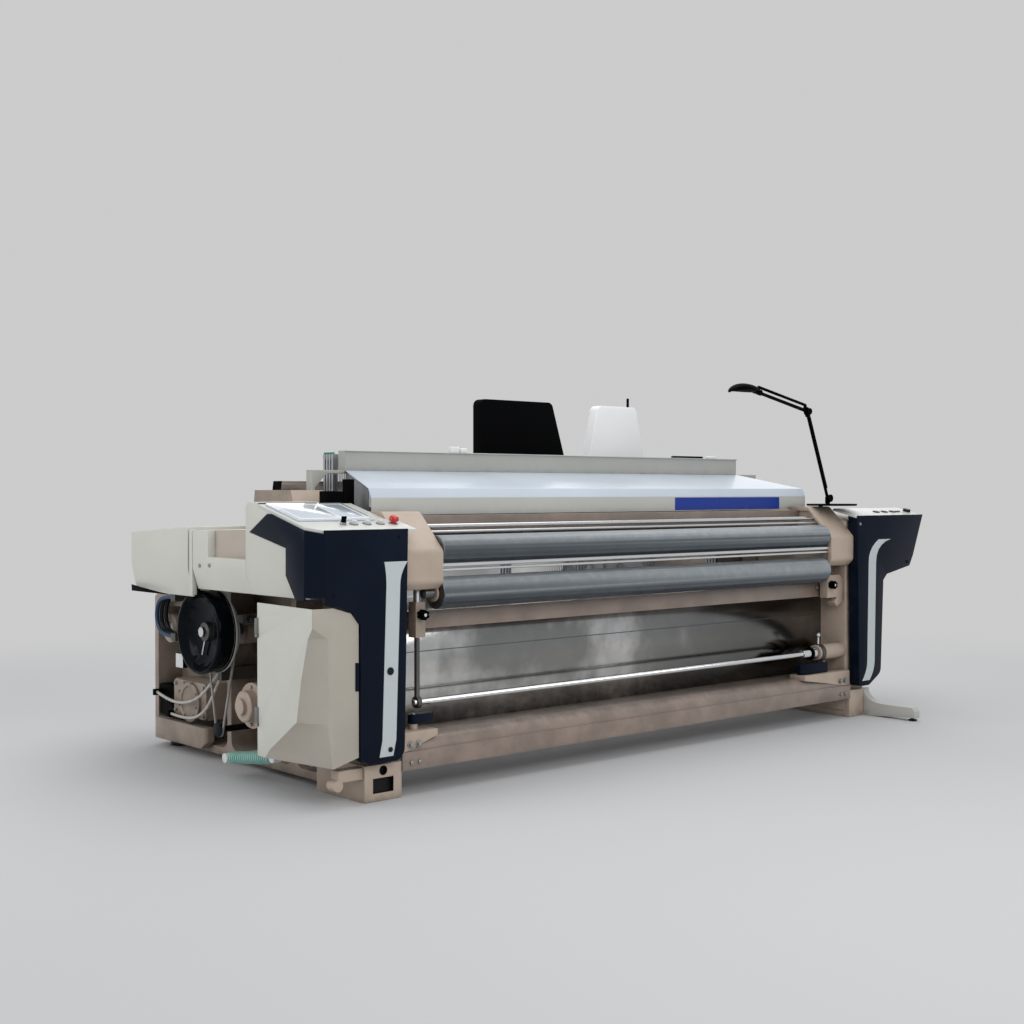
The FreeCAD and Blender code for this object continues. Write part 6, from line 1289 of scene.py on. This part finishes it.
# start and end of each thin bar as x and z, and its radius
UPPER_BARS = [((1229, 1648), (841, 1724), 7.5), ((1217, 1618), (1229, 1650), 8),
              ((841, 1693), (841, 1727), 9), ((1227, 1622), (839, 1698), 7.5)]
LOWER_BARS = [((1411, 1218), (1261, 1590), 7.5), ((1400, 1212), (1413, 1220), 7),
              ((1249, 1582), (1263, 1588), 7)]


class LampOperator(bpy.types.Operator):
    """Finish the jointed desk lamp with its second bars and its tension knobs"""
    bl_idname = "loom.lamp"
    bl_label = "Lamp"

    def execute(self, context):
        edge = context.scene.loom_sizes.fine_edge
        rounded("lamp_base", "lamp_black", edge,
                patches=[("bare_steel", zone(x=(1440, 1480), z=(1110, 1127)))])
        for node in ("lamp_lower_arm", "lamp_upper_arm"):
            rounded(node, "lamp_black", edge * 0.7)
        self.head()
        self.bars()
        ring("lamp_tray_rim", "Z", (1460, LAMP_Y, 1126.5), 126.5, 5.5, "lamp_black", "lamp_base")
        return {"FINISHED"}

    def head(self):
        """The smooth drop-shaped shade, drawn out station by station, open underneath."""
        piece = fresh(bpy.ops.mesh.primitive_circle_add, "lamp_shade", vertices=20, radius=1,
                      fill_type="NGON", rotation=(0, -math.pi / 2, 0))
        edit(piece)
        spot, last_wide, last_tall = Vector((0, 0, 0)), 1000, 1000
        for x, wide, low, high in HEAD_STATIONS:
            there, tall = mm(x, LAMP_Y, (low + high) / 2), (high - low) / 2
            if spot.length:
                bpy.ops.mesh.extrude_region_move(TRANSFORM_OT_translate={"value": there - spot})
            else:
                bpy.ops.transform.translate(value=there)
            bpy.ops.transform.resize(value=(1, wide / last_wide, tall / last_tall),
                                     center_override=there)
            spot, last_wide, last_tall = there, wide, tall
        bpy.ops.mesh.select_all(action="SELECT")
        bpy.ops.mesh.normals_make_consistent(inside=False)
        leave()
        sink(piece, zone(x=(625, 800), facing=(0, 0, -1), least=0.45), 4, (0, 0, 8))
        alone(piece)
        smooth = piece.modifiers.new("Smooth", "SUBSURF")
        smooth.levels = smooth.render_levels = 1
        bpy.ops.object.modifier_apply(modifier="Smooth")
        bpy.ops.object.shade_smooth_by_angle(angle=math.radians(60))
        coat(piece, "lamp_black")
        settle(piece, "lamp_head", replaces=["lamp_head"])

    def bars(self):
        """The second bar of each arm, the elbow's ring and the knobs at the joints."""
        for body, name, rows in (("lamp_upper", "lamp_upper_bar", UPPER_BARS),
                                 ("lamp_lower", "lamp_lower_bar", LOWER_BARS)):
            parts = [stick(name, (start[0], LAMP_Y, start[1]), (end[0], LAMP_Y, end[1]), radius,
                           "lamp_black", body=body) for start, end, radius in rows]
            if body == "lamp_lower":
                parts.append(ring("lamp_elbow_ring", "Y", (LAMP_ELBOW[0], LAMP_Y, LAMP_ELBOW[1]),
                                  18, 6.5, "lamp_black", body=body, sides=(32, 10)))
            combine(name, parts)
        for name, (x, z), front, radius, deep, width, dip, node, body in (
                ("lamp_foot_knob", LAMP_FOOT, 18, 20, 12, 0.003, 3, "lamp_base", None),
                ("lamp_elbow_knob", LAMP_ELBOW, 18, 17, 12, 0.003, 3, None, "lamp_lower"),
                ("lamp_wrist_knob", LAMP_WRIST, 17, 12, 10, 0.002, 2, None, "lamp_upper")):
            drum(name, "Y", (x, LAMP_Y - front, z), radius, deep, "lamp_black", width, node, body,
                 dish=(0.6, dip, (0, -1, 0)))


# ------------------------------------------------------------------ the panel
STEPS = [StageOperator, HosesOperator, FramesOperator, TopOperator, RollersOperator,
         HangersOperator, ConsolesOperator, CoversOperator, DriveOperator, WeavingOperator,
         LampOperator]


class LoomPanel(bpy.types.Panel):
    """Lists the steps and their settings in the sidebar"""
    bl_idname = "VIEW3D_PT_loom"
    bl_label = "Power loom"
    bl_space_type = "VIEW_3D"
    bl_region_type = "UI"
    bl_category = "Loom"

    def draw(self, context):
        for group in (context.scene.loom_sizes, context.scene.loom_colours):
            for key in type(group).__annotations__:
                self.layout.prop(group, key)
        for step in STEPS:
            self.layout.operator(step.bl_idname)


def register():
    """Register the settings, the steps and the panel."""
    for item in [LoomColours, LoomSizes, *STEPS, LoomPanel]:
        bpy.utils.register_class(item)
    bpy.types.Scene.loom_colours = PointerProperty(type=LoomColours)
    bpy.types.Scene.loom_sizes = PointerProperty(type=LoomSizes)


def unregister():
    """Remove what register added."""
    del bpy.types.Scene.loom_sizes
    del bpy.types.Scene.loom_colours
    for item in reversed([LoomColours, LoomSizes, *STEPS, LoomPanel]):
        bpy.utils.unregister_class(item)


def main():
    """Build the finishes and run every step."""
    register()
    make_finishes()
    for step in STEPS:
        space, name = step.bl_idname.split(".")
        getattr(getattr(bpy.ops, space), name)()
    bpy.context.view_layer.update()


if __name__ == "__main__":
    main()
